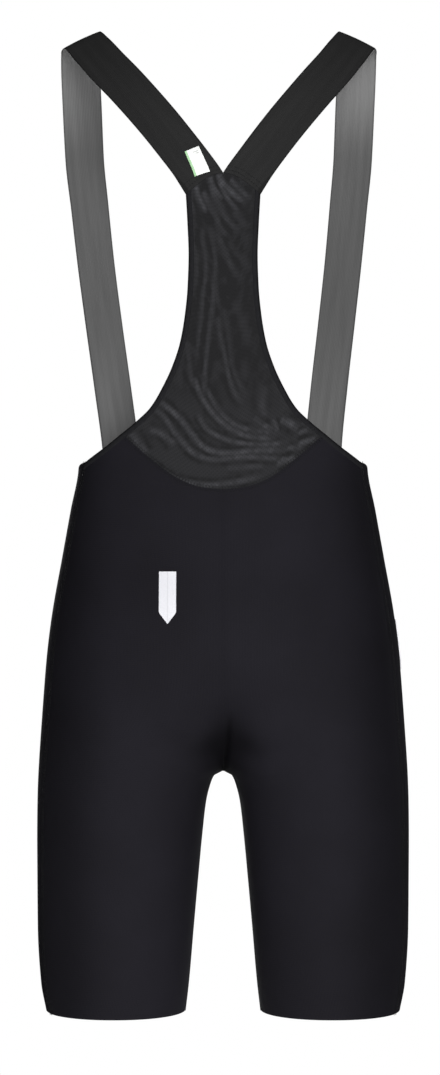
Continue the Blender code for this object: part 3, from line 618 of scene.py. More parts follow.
def makeKnit(name, cloth):
    material, add = newMaterial(name, cloth)
    flat = add("UVMap", uv_map="cloth")
    # columns of small stitches that lean to and fro
    wales = add("TexWave", flat, waveScale(cloth["walePitch"]), bands_direction="X")
    lean = add("Math MULTIPLY", wales, cloth["lean"])
    loops = add("TexWave", {"Vector": flat, "Scale": waveScale(cloth["coursePitch"]), "Phase Offset": lean},
                bands_direction="Y")
    knit = add("Math MULTIPLY_ADD", loops, cloth["courseShare"], wales)
    # a slow uneven shade from stretch and handling, and painted shade in the creases and towards the sides
    place = add("TexCoord").outputs["Object"]
    slow = add("TexNoise", {"Vector": place, "Scale": cloth["patches"], "Detail": 3.0, "Roughness": 0.5})
    shade = add("MapRange", slow, *cloth["uneven"])
    base = add("Mix", {0: shade, 6: cloth["dark"], 7: cloth["light"]}, data_type="RGBA").outputs[2]
    grooves = add("MapRange", knit, *cloth["grooves"])
    # the "fold" attribute carries the painted shade of the creases and of the sides
    fold = add("Attribute", attribute_name="fold").outputs["Fac"]
    light = add("MapRange", fold, 0.0, 1.0, 1.0, 1.0 - cloth["fold"])
    level = add("Math MULTIPLY", grooves, light)
    colour = add("VectorMath SCALE", {0: base, "Scale": level})
    fuzz = add("TexNoise", {"Vector": flat, "Scale": cloth["fuzz"], "Detail": 1.0})
    height = add("Math MULTIPLY_ADD", fuzz, cloth["fuzzShare"], knit)
    return finishMaterial(material, colour, height, cloth)


warpKnit = makeKnit("warp-knit polyamide and elastane", bodyCloth)
warpKnitInside = makeKnit("warp-knit inside, brushed",
                          {**bodyCloth, "dark": "#1F1F23", "light": "#26262A", "roughness": 0.9})
# the side panels: matt, and drawn darker than the body as painted shade where the cloth turns away to the
# sides; the painted shade that "fold" carries is left off them
sideKnit = makeKnit("warp-knit side panel, matt",
                    {**bodyCloth, "fold": 0.0, "dark": "#171619", "light": "#1C1B1F", "roughness": 0.9,
                     "specular": 0.01})
bodyKnits, sideKnits = [warpKnit, warpKnitInside], [sideKnit, warpKnitInside]

# Perforated polyester mesh: charcoal, matt, with small round eyelets on a diagonal net. Where the cloth
# is drawn into ridges, the light they catch is painted into the colour as paler cloth, with painted shade
# beside them. Real eyelets are 1 mm across and 2 mm apart; 2.6 mm apart here, so they show.
meshCloth = {"shade": "#1F1F20", "ridge": "#3F3F42", "plain": 0.22, "eyelet": "#1B1B1C", "eyeletShade": 0.35,
             "pitch": 0.0026, "eyeletRadius": 0.0007, "eyeletEdge": (1.3, 0.8), "patches": 75.0,
             "uneven": (0.32, 0.68, 0.12, 1.05), "bump": 0.7, "depth": 0.0002, "roughness": 0.85,
             "specular": 0.06}


def makeMeshKnit():
    material, add = newMaterial("perforated polyester mesh", meshCloth)
    flat = add("UVMap", uv_map="cloth")
    turned = add("Mapping", {"Vector": flat, "Rotation": (0, 0, math.pi / 4)})
    cells = add("TexVoronoi", {"Vector": turned, "Scale": 1 / meshCloth["pitch"], "Randomness": 0.0})
    edge = (meshCloth["eyeletRadius"] / meshCloth["pitch"] * share for share in meshCloth["eyeletEdge"])
    eyelets = add("MapRange", cells, *edge, interpolation_type="SMOOTHSTEP")
    # the "drape" attribute carries the ridges' painted highlights, the painted shade beside them and the
    # darker neck
    drawn = add("Attribute", attribute_name="drape").outputs["Fac"]
    slow = add("TexNoise", {"Vector": flat, "Scale": meshCloth["patches"], "Detail": 3.0})
    patchy = add("MapRange", slow, *meshCloth["uneven"])
    factor = add("Math MULTIPLY_ADD", drawn, patchy, meshCloth["plain"])
    base = add("Mix", {0: factor, 6: meshCloth["shade"], 7: meshCloth["ridge"]}, data_type="RGBA").outputs[2]
    # the eyelets are drawn darker: painted shade in the holes
    holes = add("Math MULTIPLY", eyelets, meshCloth["eyeletShade"])
    colour = add("Mix", {0: holes, 6: base, 7: meshCloth["eyelet"]}, data_type="RGBA").outputs[2]
    height = add("Math MULTIPLY", eyelets, -1.0)
    return finishMaterial(material, colour, height, meshCloth)


meshKnit = makeMeshKnit()

# Woven elastic: black outside and mid grey inside, with fine ribs along its length and a darker edge.
# The ribs are 0.6 mm apart on the real band and 1.6 mm here.
elastic = {"ribPitch": 0.0016, "pickPitch": 0.0013, "ribs": "X", "picks": "Y", "side": "ABSOLUTE",
           "pickShare": 0.35, "weaveLight": 0.08, "uneven": (0.3, 0.7, 0.84, 1.04), "edgeStart": 0.0172,
           "edgeEnd": 0.0188, "edgeShade": 0.62, "grain": (180.0, 9.0, 1.0), "stretched": (), "bump": 0.6,
           "depth": 0.00012, "roughness": 0.8, "specular": 0.06}


def makeElastic(name, colour, band):
    material, add = newMaterial(name, band)
    flat = add("UVMap", uv_map="cloth")
    ribs, picks = (add("TexWave", flat, waveScale(band[f"{kind}Pitch"]), bands_direction=band[f"{kind}s"])
                   for kind in ("rib", "pick"))
    weave = add("Math MULTIPLY_ADD", picks, band["pickShare"], ribs)
    grain = add("Mapping", {"Vector": flat, "Scale": band["grain"]})
    streaks = add("TexNoise", {"Vector": grain, "Scale": 1.0, "Detail": 3.0})
    uneven = add("MapRange", streaks, *band["uneven"])
    level = add("Math MULTIPLY_ADD", weave, band["weaveLight"], uneven)
    off = add(f"Math {band['side']}", add("SeparateXYZ", flat), 0.0)
    edge = add("MapRange", off, band["edgeStart"], band["edgeEnd"], 1.0, band["edgeShade"],
               interpolation_type="SMOOTHSTEP")
    shade = add("Math MULTIPLY", level, edge)
    place = add("TexCoord").outputs["Object"]
    height = add("SeparateXYZ", place).outputs[2]
    # bands of height in which the colour is drawn paler; on the strap's inside this is painted light
    for start, end, gain in band["stretched"]:
        paler = add("MapRange", height, start, end, 1.0, gain, interpolation_type="SMOOTHSTEP")
        shade = add("Math MULTIPLY", shade, paler)
    tint = add("VectorMath SCALE", {0: colour, "Scale": shade})
    return finishMaterial(material, tint, weave, band)


strapOutside = makeElastic("woven elastic, black outside", "#242424", elastic)
# painted light over the shoulder: the inside is drawn paler where it turns down away from the lamps; it is
# also drawn paler lower down, towards the foot
strapInside = makeElastic("woven elastic, grey inside", "#5A5A5A",
                          {**elastic, "stretched": ((-0.105, -0.008, 2.3), (-0.24, -0.37, 1.3))})
# the edge's elastic is drawn darkest where it turns over the free edge: painted shade of the turn
edgeElastic = makeElastic("folded edge elastic, matt", "#1D1D1F",
                          {**elastic, "ribPitch": 0.0014, "ribs": "Y", "picks": "X", "side": "ADD",
                           "grain": (9.0, 180.0, 1.0), "edgeStart": 0.0002, "edgeEnd": 0.0019,
                           "edgeShade": 0.42})

# Twisted polyester sewing thread: about as matt as the cloth, with the twist's fine light and dark.
sewingThread = {"twist": 900.0, "uneven": (0.3, 0.7, 0.8, 1.2), "roughness": 0.65, "specular": 0.12}


def makeThread(name, colour):
    material, add = newMaterial(name, sewingThread)
    at = add("TexCoord").outputs["Object"]
    twist = add("TexNoise", {"Vector": at, "Scale": sewingThread["twist"], "Detail": 1.0})
    shade = add("MapRange", twist, *sewingThread["uneven"])
    return finishMaterial(material, add("VectorMath SCALE", {0: colour, "Scale": shade}))


blackThread = makeThread("twisted polyester thread, black", "#161618")
whiteThread = makeThread("twisted polyester thread, white", "#C9CBC8")

# Retroreflective transfer film: near-white, very fine glass beads under a clear coat, with a faint darker
# line down the middle, painted shade of a fold.
film = {"colour": "#DCDCE1", "beads": 1500.0, "beadShade": (0.0, 0.7, 1.0, 0.92), "foldInner": 0.00025,
        "foldOuter": 0.00075, "foldShade": 0.88, "bump": 0.3, "depth": 0.00008, "coat": 0.15,
        "coatRoughness": 0.3, "roughness": 0.38, "specular": 0.4}


def makeReflective():
    material, add = newMaterial("glass-bead reflective film", film)
    flat = add("UVMap", uv_map="cloth")
    beads = add("TexVoronoi", {"Vector": flat, "Scale": film["beads"]})
    shade = add("MapRange", beads, *film["beadShade"])
    off = add("Math ABSOLUTE", add("SeparateXYZ", flat))
    line = add("MapRange", off, film["foldInner"], film["foldOuter"], film["foldShade"], 1.0,
               interpolation_type="SMOOTHSTEP")
    level = add("Math MULTIPLY", shade, line)
    tint = add("VectorMath SCALE", {0: film["colour"], "Scale": level})
    fillSockets(material.node_tree, material.node_tree.nodes["Principled BSDF"],
                {"Coat Weight": film["coat"], "Coat Roughness": film["coatRoughness"]})
    return finishMaterial(material, tint, beads, film)


reflectiveFilm = makeReflective()

# Damask-woven satin label: white with a pale green selvedge on its left and plain grey bars, no words.
satin = {"white": "#E9EBE8", "green": "#9CC796", "grey": "#8A8A8A", "pickPitch": 0.0008, "selvedge": -0.0050,
         "pickShade": (0.0, 1.0, 0.94, 1.0), "bump": 0.4, "depth": 0.00006, "roughness": 0.55,
         "specular": 0.3, "barShade": 0.55,
         # middle across, middle up, half length and half height of each bar
         "bars": ((0.0024, 0.0105, 0.0026, 0.0005), (0.0034, 0.0088, 0.0016, 0.0005))}


def makeLabelCloth():
    material, add = newMaterial("damask-woven label satin", satin)
    flat = add("UVMap", uv_map="cloth")
    picks = add("TexWave", flat, waveScale(satin["pickPitch"]), bands_direction="Y")
    shade = add("MapRange", picks, *satin["pickShade"])
    place = add("SeparateXYZ", flat)
    green = add("Math LESS_THAN", place, satin["selvedge"])
    base = add("Mix", {0: green, 6: satin["white"], 7: satin["green"]}, data_type="RGBA").outputs[2]
    colour = add("VectorMath SCALE", {0: base, "Scale": shade}).outputs[0]
    for middle, up, half, high in satin["bars"]:
        across, upwards = (add("Math COMPARE", place.outputs[axis], centre, reach)
                           for axis, centre, reach in ((0, middle, half), (1, up, high)))
        mark = add("Math MULTIPLY", across, upwards)
        faint = add("Math MULTIPLY", mark, satin["barShade"])
        colour = add("Mix", {0: faint, 6: colour, 7: satin["grey"]}, data_type="RGBA").outputs[2]
    return finishMaterial(material, colour, picks, satin)


labelSatin = makeLabelCloth()
print("materials ready")

# The shorts. Cells are those of the solid; each has fineColumns columns of cloth. The seat's middle is
# softened within a distance of it, and its first columns are finer still.
bodySheets = {"backCells": (8, 5), "sideCells": 3, "frontCells": 9, "fineColumns": 4,
              "soften": 0.0055, "softenReach": 0.022, "softenLevels": 0.2,
              "middleColumns": 8, "middleParts": 4}
cornerAt = cornerShare()


def softenMiddle(points, normals):
    # the seat's middle as a soft trough: its rows evened across, from one half into the other
    for row in range(crotchRow + 1, len(points)):
        fade = ease((levels[row] - 1) / bodySheets["softenLevels"])
        whole, turned = (np.concatenate([values[row, :0:-1] * mirror, values[row]])
                         for values in (points, normals))
        half = np.s_[len(whole) // 2:]
        places = lengthsAlong(whole)
        places -= places[len(whole) // 2]
        weights = eveningWeights(places, bodySheets["soften"])
        near = (fade * ease(2 - places[half] / bodySheets["softenReach"]))[:, None]
        points[row] += ((weights @ whole)[half] - points[row]) * near
        normals[row] += ((weights @ turned)[half] - normals[row]) * near
    return points, unit(normals)


def backShares():
    seam = sideSeams(levels)[0]
    joint = cornerAt * seam / form["sideBack"][1]
    toCorner, toSeam = (n * bodySheets["fineColumns"] for n in bodySheets["backCells"])
    inner, outer = spread(np.zeros_like(seam), joint, toCorner), spread(joint, seam, toSeam)
    return np.concatenate([inner, outer[:, 1:]], axis=1)


def makeBackPanel():
    shares, middle = backShares(), bodySheets["middleColumns"]
    fineMiddle = [finer(row[:middle + 1], bodySheets["middleParts"]) for row in shares]
    shares = np.concatenate([fineMiddle, shares[:, middle + 1:]], axis=1)
    points, normals = softenMiddle(*gridFrom(shares, backTop))
    points[crotchRow:, 0, 0] = 0
    normals[crotchRow + 1:, 0, 0] = 0
    normals, flat = unit(normals), clothMap(points)
    (points, dark), (rightPoints, rightDark) = creased(points), creased(points * mirror)
    rightPoints[crotchRow:, 0] = points[crotchRow:, 0]
    keepEdges("back_panel_left", points, normals)
    keepEdges("back_panel_right", rightPoints, normals * mirror)
    # from the crotch up, both halves share the middle's points
    rows, columns = dark.shape
    count = rows * columns
    shared = {count + r * columns: r * columns for r in range(crotchRow, rows)}
    other = flipped(gridFaces(rows, columns, count))
    faces = gridFaces(rows, columns) + [[shared.get(v, v) for v in face] for face in other]
    kept = np.array(sorted({v for face in faces for v in face}))
    number = {v: k for k, v in enumerate(kept.tolist())}
    pairs = (points, rightPoints), (normals, normals * mirror), (flat * (-1, 1), flat), (dark, rightDark)
    *sheet, dark = (np.concatenate(pair).reshape(2 * count, -1)[kept] for pair in pairs)
    faces = [[number[v] for v in face] for face in faces]
    return makeCloth("back_panel_cloth", "body_cloth", *sheet, form["wall"], bodyKnits, {"fold": dark}, faces)


def makeHalves(name, points, normals, wall, materials, slot, shifts=0, middleColumn=0):
    # a patch of the left half and its mirror image on the right
    flat, faces, pieces = clothMap(points, middleColumn), gridFaces(*points.shape[:2]), []
    for side, turn, order in (("left", 1, faces), ("right", mirror, flipped(faces))):
        here, dark = creased(points * turn)
        keepEdges(f"{name}_{side}", here + shifts, normals * turn)
        pieces.append(makeCloth(f"{name}_{side}_cloth", slot, here + shifts, normals * turn, flat, wall,
                                materials, {"fold": dark}, order))
    return pieces


def makeSidePanels():
    shares = spread(*sideSeams(levels), bodySheets["sideCells"] * bodySheets["fineColumns"])
    return makeHalves("side_panel", *gridFrom(shares, sideTop), form["wall"], sideKnits, "body_cloth")


def makeFrontPanels():
    seam = sideSeams(levels)[1]
    shares = spread(seam, np.ones_like(seam), bodySheets["frontCells"] * bodySheets["fineColumns"])
    points, normals = gridFrom(shares, frontTop)
    points[crotchRow:, -1, 0] = 0
    normals[crotchRow + 1:, -1, 0] = 0
    return makeHalves("front_panel", points, unit(normals), form["wall"], bodyKnits, "body_cloth")


backPanel = makeBackPanel()
sidePanels = makeSidePanels()
frontPanels = makeFrontPanels()
print("shorts sewn")

# The mesh's drape: ridges drawn from the yoke down to the right. In millimetres, each one's lift
# and half width, then how much it pales, and in millimetres again its line as x, height.
drapeRidges = (
    (0.6, 1.8, 0.8, -25.7, 548.6, -23.3, 538.4, -17.8, 527.7, -14, 517.5),
    (0.5, 1.6, 0.58, -12.2, 549.3, -8.7, 540, -2.9, 529.6, 5.2, 515.6),
    (0.5, 1.6, 0.6, -4.8, 553.9, -0.6, 545.8, 4.1, 536.5, 13.4, 524.9, 21.5, 515.6),
    (0.5, 1.8, 0.6, -12.7, 557.4, -9.9, 548.1, -4.8, 540.3, 1.7, 532.8),
    (0.6, 2, 0.78, -4.8, 559.8, -1, 550.9, 5.9, 544, 14.3, 536.5, 24, 530.5),
    (0.4, 1.7, 0.5, 5.9, 554.7, 12, 547.7, 19.4, 540.7, 27.3, 533.8),
    (0.4, 1.6, 0.42, -30.8, 544, -29.4, 531.9, -26.6, 521.7, -23.3, 514.2),
    (0.6, 1.9, 0.6, -19.6, 544.9, -12.7, 530, -6.6, 519.8, -2.4, 509.1, 6.9, 498.9, 17.1, 491.5),
    (0.6, 1.9, 0.62, -10.8, 544, -4.8, 531, 1.3, 520.3, 9.2, 511, 18, 504, 25.9, 496.6),
    (0.4, 2.2, 0.45, 9.6, 524.9, 17.1, 514.2, 26.4, 506.8),
    (0.5, 1.8, 0.45, -28, 514.2, -28.4, 499.4, -25.2, 480.8, -24.7, 464.5, -27.1, 448.3, -25.2, 432),
    (0.7, 1.7, 0.55, -17.8, 513.8, -19.2, 499.4, -16.4, 483.1, -16.4, 464.5, -18.7, 448.3, -20.1, 429.7,
     -22.4, 411.1, -24.7, 392.5, -26.6, 376.3),
    (0.6, 1.8, 0.5, -12.7, 513.8, -9.9, 497.1, -7.1, 478.5, -8, 459.9, -4.3, 439, -0.6, 425.1, -1.5, 406.5),
    (0.6, 2.2, 0.52, -6.6, 506.8, 0.4, 490.1, 6.9, 475.7, 13.8, 464.1, 21.3, 454.8),
    (0.4, 2.2, 0.36, 4.1, 499.4, 11, 487.3, 19.9, 477.1, 26.8, 466.9),
    (0.7, 1.8, 0.62, -9.9, 469.2, -8.9, 452.9, -9.9, 439, -12.2, 420.4, -14.5, 401.8, -16.4, 383.3, -17.8,
     364.7, -16.4, 349.8),
    (0.7, 2, 0.55, -5.2, 432, -2.9, 411.1, 1.3, 392.5, 5, 374, 11, 357.2, 20.3, 345.6),
    (0.5, 2, 0.4, -0.1, 439, 3.1, 420.4, 5.9, 401.8, 8.2, 383.3, 14.3, 367, 22.6, 353.1),
    (0.5, 2.2, 0.42, -34, 406.5, -31.7, 387.9, -30.3, 374, -25.7, 359.1),
    (0.4, 3.2, 0.3, 9.6, 443.6, 16.1, 427.4, 21.7, 411.1, 25.4, 394.4),
    (0.3, 2.4, 0.26, -38.7, 420.4, -36.8, 401.8, -38.7, 383.3, -42.4, 367),
    (0.9, 1.9, 0.8, -26.6, 374.9, -23.3, 361, -16.4, 348, -7.1, 335.9, 4.5, 325.7, 18.5, 318.7, 35.2, 315.9,
     51.9, 314.5),
    (0.8, 1.8, 0.62, -16.8, 364.7, -9.9, 350.3, -0.1, 336.8, 12, 327.5, 25.9, 322.9, 43.5, 321, 54.2, 319.6),
    (0.8, 1.7, 0.72, -24.3, 340.5, -16.8, 326.1, -4.8, 317.3, 12, 311.7, 30.5, 309.6, 49.1, 310.3, 62.1,
     311.7),
    (1, 2, 0.88, -64, 352.8, -55.4, 346.9, -43.8, 337.4, -34.2, 326.1, -22.8, 311, -9.9, 303.4, 6.9, 301.5,
     25.9, 303.8, 44, 304.3, 63.1, 305.2),
    (0.8, 1.9, 0.7, -67, 345.6, -56.3, 336.8, -46.6, 322.9, -36.8, 310.8, -27.1, 301.5, -11.7, 295.9, 6.9,
     296.9, 25.4, 298.2, 43.5, 297.3, 60.3, 295.5),
    (0.5, 2, 0.6, -41, 336.8, -31.7, 321.9, -23.3, 315.9),
    (0.5, 2.4, 0.62, -69, 322.9, -60.6, 321.6, -53.4, 317.2, -44.1, 308),
    (0.3, 1.8, 0.42, 3.1, 287.5, 14, 287.8, 26.4, 289, 39, 289.6),
    (0.2, 2, 0.62, -74.4, 296.9, -56.8, 283.8, -40.1, 276, -16.8, 271.5, 6.4, 273.4, 25.9, 277.8, 38.9,
     280.6),
    (0.6, 2, 0.6, 28.5, 335.1, 36.6, 327.6, 48.8, 323.9),
    (0.7, 2.8, 0.75, 53.6, 333.5, 61.7, 330.1, 70.6, 324),
    (0.6, 1.9, 0.9, 69.6, 309.4, 78.9, 313.1, 87.2, 315.4),
    (0.5, 2, 0.8, 49.6, 291.3, 58.9, 294.5, 67.2, 297.8),
    (0.4, 2.8, 0.7, -85.1, 320.5, -80, 312.6, -72.1, 301),
    (0.3, 3, 0.3, 38.9, 364.7, 36.1, 348.4, 38.9, 334.5),
    (0.4, 1.7, 0.6, 59.8, 307.1, 67.7, 306.6, 74.7, 308.9),
    (0.4, 1.5, 0.8, 45.9, 333.1, 48.9, 327.5, 50.5, 320.7),
    (0.4, 1.5, 0.85, 70.4, 320, 74.9, 322.4, 79.4, 323.2),
    (0.4, 1.5, 0.8, 54.2, 296.4, 58.1, 295.9, 62.5, 294.8),
)
meshSheet = {
    "rows": 230, "fineColumns": 8, "crowding": 0.86, "edgeFades": (0.12, 0.03, 0.02),
    "broader": 1.22, "paler": 0.94, "fadeIn": 0.08, "fadeOut": 0.13, "valley": 0.48, "valleyAway": 2.0,
    # the ridges' painted light comes in uneven beads, clearer below a height: pitch, start and share of two
    # waves
    "beads": 0.22, "beaded": 0.45, "beadTop": 0.36, "beadOver": 0.04,
    "beadWaves": ((11.5, 2.1, 1.0), (6.7, 1.3, 0.7)),
    # the neck: softer ridges above a height, and darker cloth
    "softFrom": 0.37, "softOver": 0.07, "softWidth": 0.42, "softPale": 0.08, "softEnd": 0.30,
    "neckShade": 0.32, "neckFrom": 0.32, "neckOver": 0.08,
    # under the yoke: clearer ridges with paler painted highlights again
    "topFrom": 0.515, "topOver": 0.035, "topPaler": 0.45, "topSharper": 0.6,
}


def drape(x, height, edgeFade):
    # the ridges' lift, and their painted light: how pale the ridges' painted highlights and how dark the
    # painted shade in the valleys beside them are
    sheet, flatPoints = meshSheet, np.stack([x, height], axis=-1) * 1000
    lift, pale, dark = (np.zeros(x.shape) for _ in range(3))
    low = ease((sheet["beadTop"] - height) / sheet["beadOver"])
    underYoke = ease((height - sheet["topFrom"]) / sheet["topOver"])
    soft = ease((height - sheet["softFrom"]) / sheet["softOver"]) * (1 - sheet["topSharper"] * underYoke)
    for number, (high, width, paleness, *line) in enumerate(drapeRidges):
        chain = roundedChain(line, 4)
        away, along = distanceToLine(flatPoints, chain)
        run = 2 * np.pi * along * lengthsAlong(chain)[-1]
        beads = sum(part * np.sin(run / pitch + start * number) for pitch, start, part in sheet["beadWaves"])
        beads = beads * sheet["beads"] * (sheet["beaded"] + (1 - sheet["beaded"]) * low)
        width = width * (sheet["broader"] + sheet["softWidth"] * soft)
        paleness = paleness * (sheet["paler"] - sheet["softPale"] * soft) * (1 + beads)
        fadeOut = sheet["fadeOut"] + sheet["softEnd"] * soft
        ends = ease(along / sheet["fadeIn"]) * ease((1 - along) / fadeOut)
        ridge = np.exp(-((away / width) ** 2)) * ends
        lift += high / 1000 * ridge
        pale = np.maximum(pale, paleness * ridge)
        beside = np.exp(-(((away - sheet["valleyAway"] * width) / width) ** 2)) * ends
        dark = np.maximum(dark, sheet["valley"] * paleness * beside)
    stretched = sheet["neckShade"] * ease((height - sheet["neckFrom"]) / sheet["neckOver"])
    pale = pale * (1 + sheet["topPaler"] * underYoke)
    return lift * edgeFade, pale - dark * (1 - np.minimum(pale * 2, 1)) - stretched * (1 - underYoke / 2)


def makeMeshPanel():
    shares = backShares()[-1][:bodySheets["backCells"][0] * bodySheets["fineColumns"] + 1]
    topRow = np.abs(trunk(shares, np.full_like(shares, 3.0), backTop)[:, 0])
    half = finer(topRow[::bodySheets["fineColumns"]] / topRow[-1], meshSheet["fineColumns"])
    columns = np.concatenate([-half[:0:-1], half])
    reach = (1 - (1 - np.linspace(0, 1, meshSheet["rows"] + 1)) ** meshSheet["crowding"])[:, None]
    top = bindingLine[0]
    sideHeight = corner[1] + (smooth(yokeArchRows, 1, top[0]) - corner[1]) * reach
    halfWidth = np.interp(-sideHeight, -bindingLine[:, 1], bindingLine[:, 0])
    low = smooth(meshSeamRows, 1, np.abs(columns) * corner[0])
    high = smooth(yokeArchRows, 1, np.abs(columns) * top[0])
    x, height = columns * halfWidth, low + (high - low) * reach
    points, normals = backSurface(x, height)
    flat = clothMap(points, len(columns) // 2)
    atSides, atBottom, atTop = meshSheet["edgeFades"]
    fade = ease((1 - np.abs(columns)) / atSides) * ease(reach / atBottom) * ease((1 - reach) / atTop)
    lift, pale = drape(x, height, fade)
    points = points + normals * lift[..., None]
    keepEdges("mesh_panel", points, normals)
    return makeCloth("mesh_panel_cloth", "mesh_cloth", points, normals, flat, form["meshWall"],
                     [meshKnit, meshKnit], {"drape": pale})


meshPanel = makeMeshPanel()
print("mesh panel draped")

# The elastic folded over the back's free edge. Its section is a flat rounded lozenge, widest where the
# fold turns over the edge.
binding = {"tape": 0.0092, "rows": 150, "overlap": 0.0004, "raise": 0.0005, "thickness": 0.0024, "round": 10,
           "acrossBend": 0.55, "highBend": 0.75, "mapWidth": 0.0025, "sharpAngle": 60}


def resampled(line, count):
    places = lengthsAlong(line)
    at = np.linspace(0, places[-1], count + 1)
    return np.stack([np.interp(at, places, values) for values in line.T], axis=1)


def makeBindings():
    inner, outer = resampled(bindingLine, binding["rows"]), resampled(edgeLine, binding["rows"])
    inner[0, 1] = smooth(yokeArchRows, 1, inner[0, 0])
    (start, startOut), (end, endOut) = (backSurface(-line[:, 0], line[:, 1]) for line in (inner, outer))
    out = unit(startOut + endOut)
    start = start - unit(end - start) * binding["overlap"]
    middle = (start + end) / 2 - out * (binding["thickness"] / 2 - binding["raise"])
    count = binding["round"]
    turns = 2 * np.pi * np.arange(count) / count
    across = signedPower(np.cos(turns), binding["acrossBend"])
    high = signedPower(np.sin(turns), binding["highBend"]) * binding["thickness"] / 2
    rings = middle[:, None] + (end - start)[:, None] / 2 * across[:, None] + out[:, None] * high[:, None]
    along, rows = lengthsAlong(middle), len(rings)
    faces = [[r * count + c, r * count + d, (r + 1) * count + d, (r + 1) * count + c]
             for r in range(rows - 1) for c in range(count) for d in [(c + 1) % count]]
    faces += [list(reversed(range(count))), [(rows - 1) * count + c for c in range(count)]]
    flat = np.stack(np.broadcast_arrays(across * binding["mapWidth"], along[:, None]), axis=-1).reshape(-1, 2)
    pieces = []
    for side, turn, order in (("left", 1, flipped(faces)), ("right", mirror, faces)):
        piece = addMesh(f"binding_{side}_elastic", rings.reshape(-1, 3) * turn, order, flat, [edgeElastic],
                        binding["sharpAngle"])
        pieces.append(placePiece(piece))
    return pieces, along[-1]


bindings, bindingLength = makeBindings()
print("bindings folded over, each", round(bindingLength, 3), "m")

# The left strap, from the back seam over the shoulder to the front: x, y, height, direction across
# (x, y, height) and the pair's shift to the left.
strapRows = np.array((
    (-0.0180, -0.1055, 0.5495, -0.853, 0.05, -0.52, 0.0),
    (-0.0300, -0.1050, 0.5688, -0.800, 0.10, -0.60, 0.0),
    (-0.0439, -0.1020, 0.5877, -0.777, 0.14, -0.63, -0.0003),
    (-0.0589, -0.0970, 0.6072, -0.777, 0.17, -0.63, -0.0005),
    (-0.0749, -0.0890, 0.6270, -0.760, 0.19, -0.65, -0.0008),
    (-0.0911, -0.0770, 0.6467, -0.755, 0.17, -0.65, -0.0012),
    (-0.1070, -0.0600, 0.6658, -0.770, 0.08, -0.62, -0.0018),
    (-0.1215, -0.0370, 0.6853, -0.800, -0.06, -0.56, -0.0026),
    (-0.1320, -0.0100, 0.6990, -0.865, -0.22, -0.44, -0.0034),
    (-0.1345, 0.0140, 0.6970, -0.915, -0.20, -0.35, -0.0040),
    (-0.1346, 0.0420, 0.6770, -0.960, -0.14, -0.24, -0.0043),
    (-0.1340, 0.0680, 0.6420, -0.983, -0.12, -0.13, -0.0043),
    (-0.1328, 0.0870, 0.5980, -0.972, -0.20, -0.07, -0.0042),
    (-0.1285, 0.0975, 0.5500, -0.950, -0.30, -0.02, -0.0038),
    (-0.1230, 0.1000, 0.4950, -0.935, -0.35, 0.02, -0.0034),
    (-0.1157, 0.0975, 0.4350, -0.930, -0.36, 0.05, -0.0028),
    (-0.1073, 0.0915, 0.3700, -0.930, -0.36, 0.05, -0.0020),
    (-0.1008, 0.0840, 0.3150, -0.920, -0.38, 0.04, -0.0010),
    (-0.0985, 0.0800, 0.2820, -0.890, -0.45, 0.02, 0.0),
))
strap = {"width": 0.0385, "crown": 0.0008, "fitting": 0.030, "foot": (0.0805, 0.1175), "rows": 210,
         "columns": 16}
strapPlaces = lengthsAlong(strapRows[:, :3])
strapTable = np.concatenate([strapPlaces[:, None], strapRows], axis=1)
strapLength = strapPlaces[-1]


def strapMiddle(along):
    return stack(*(smooth(strapTable, column, along) for column in (1, 2, 3)))


def strapFrame(along, step=0.001):
    after, before = np.minimum(along + step, strapLength), np.maximum(along - step, 0)
    forward = unit(strapMiddle(after) - strapMiddle(before))
    across = np.stack([smooth(strapTable, column, along) for column in (4, 5, 6)], axis=-1)
    across = unit(across - forward * np.sum(across * forward, axis=-1, keepdims=True))
    return strapMiddle(along), across, unit(np.cross(forward, across))


def strapEnd(side, atBack):
    # a point and normal of the seam at one end of the strap
    share = (side + 1) / 2
    if atBack:
        away = yokeArchRows[-1, 0] * share
        return backSurface(-away, smooth(yokeArchRows, 1, away))
    start, end = strap["foot"]
    away = start + (end - start) * share
    height = smooth(frontEdgeRows, 1, away)
    width, depth, bend = smooth(torsoRows, 1, height), smooth(torsoRows, 3, height), form["frontRoundness"]
    part = away / width
    y = depth * (1 - part**bend) ** (1 / bend)
    slope = depth / width * part ** (bend - 1) / (y / depth) ** (bend - 1)
    return stack(-away, y, height), unit(np.stack(np.broadcast_arrays(-slope, 1.0, 0.0), axis=-1))


def strapPoint(along, side):
    # a point and normal of the left strap's outer face
    along, side = np.broadcast_arrays(np.asarray(along, float), np.asarray(side, float))
    middle, across, out = strapFrame(along)
    half, crown = strap["width"] / 2, strap["crown"]
    crowned = (crown * (1 - side * side))[..., None]
    points = middle + across * (side * half)[..., None] + out * crowned
    for atBack in (True, False):
        near = (along if atBack else strapLength - along) / strap["fitting"]
        pull = np.where(near < 1, 1 - ease(near), 0)[..., None]
        end, endOut = strapEnd(side, atBack)
        first, firstAcross, firstOut = strapFrame(np.float64(0 if atBack else strapLength))
        start = first + firstAcross * (side * half)[..., None] + firstOut * crowned
        points = points + (end - start) * pull
        out = unit(out + (endOut - out) * pull)
    return points, out


def strapShift(along):
    return smooth(strapTable, 7, along)[..., None] * (1, 0, 0)


def makeStraps():
    along = np.linspace(0, strapLength, strap["rows"] + 1)[:, None]
    side = np.linspace(-1, 1, strap["columns"] + 1)[None]
    return makeHalves("strap", *strapPoint(along, side), form["strapWall"], [strapOutside, strapInside],
                      "strap_cloth", strapShift(along), strap["columns"] // 2)


straps = makeStraps()
print("straps sewn, each", round(strapLength, 3), "m")

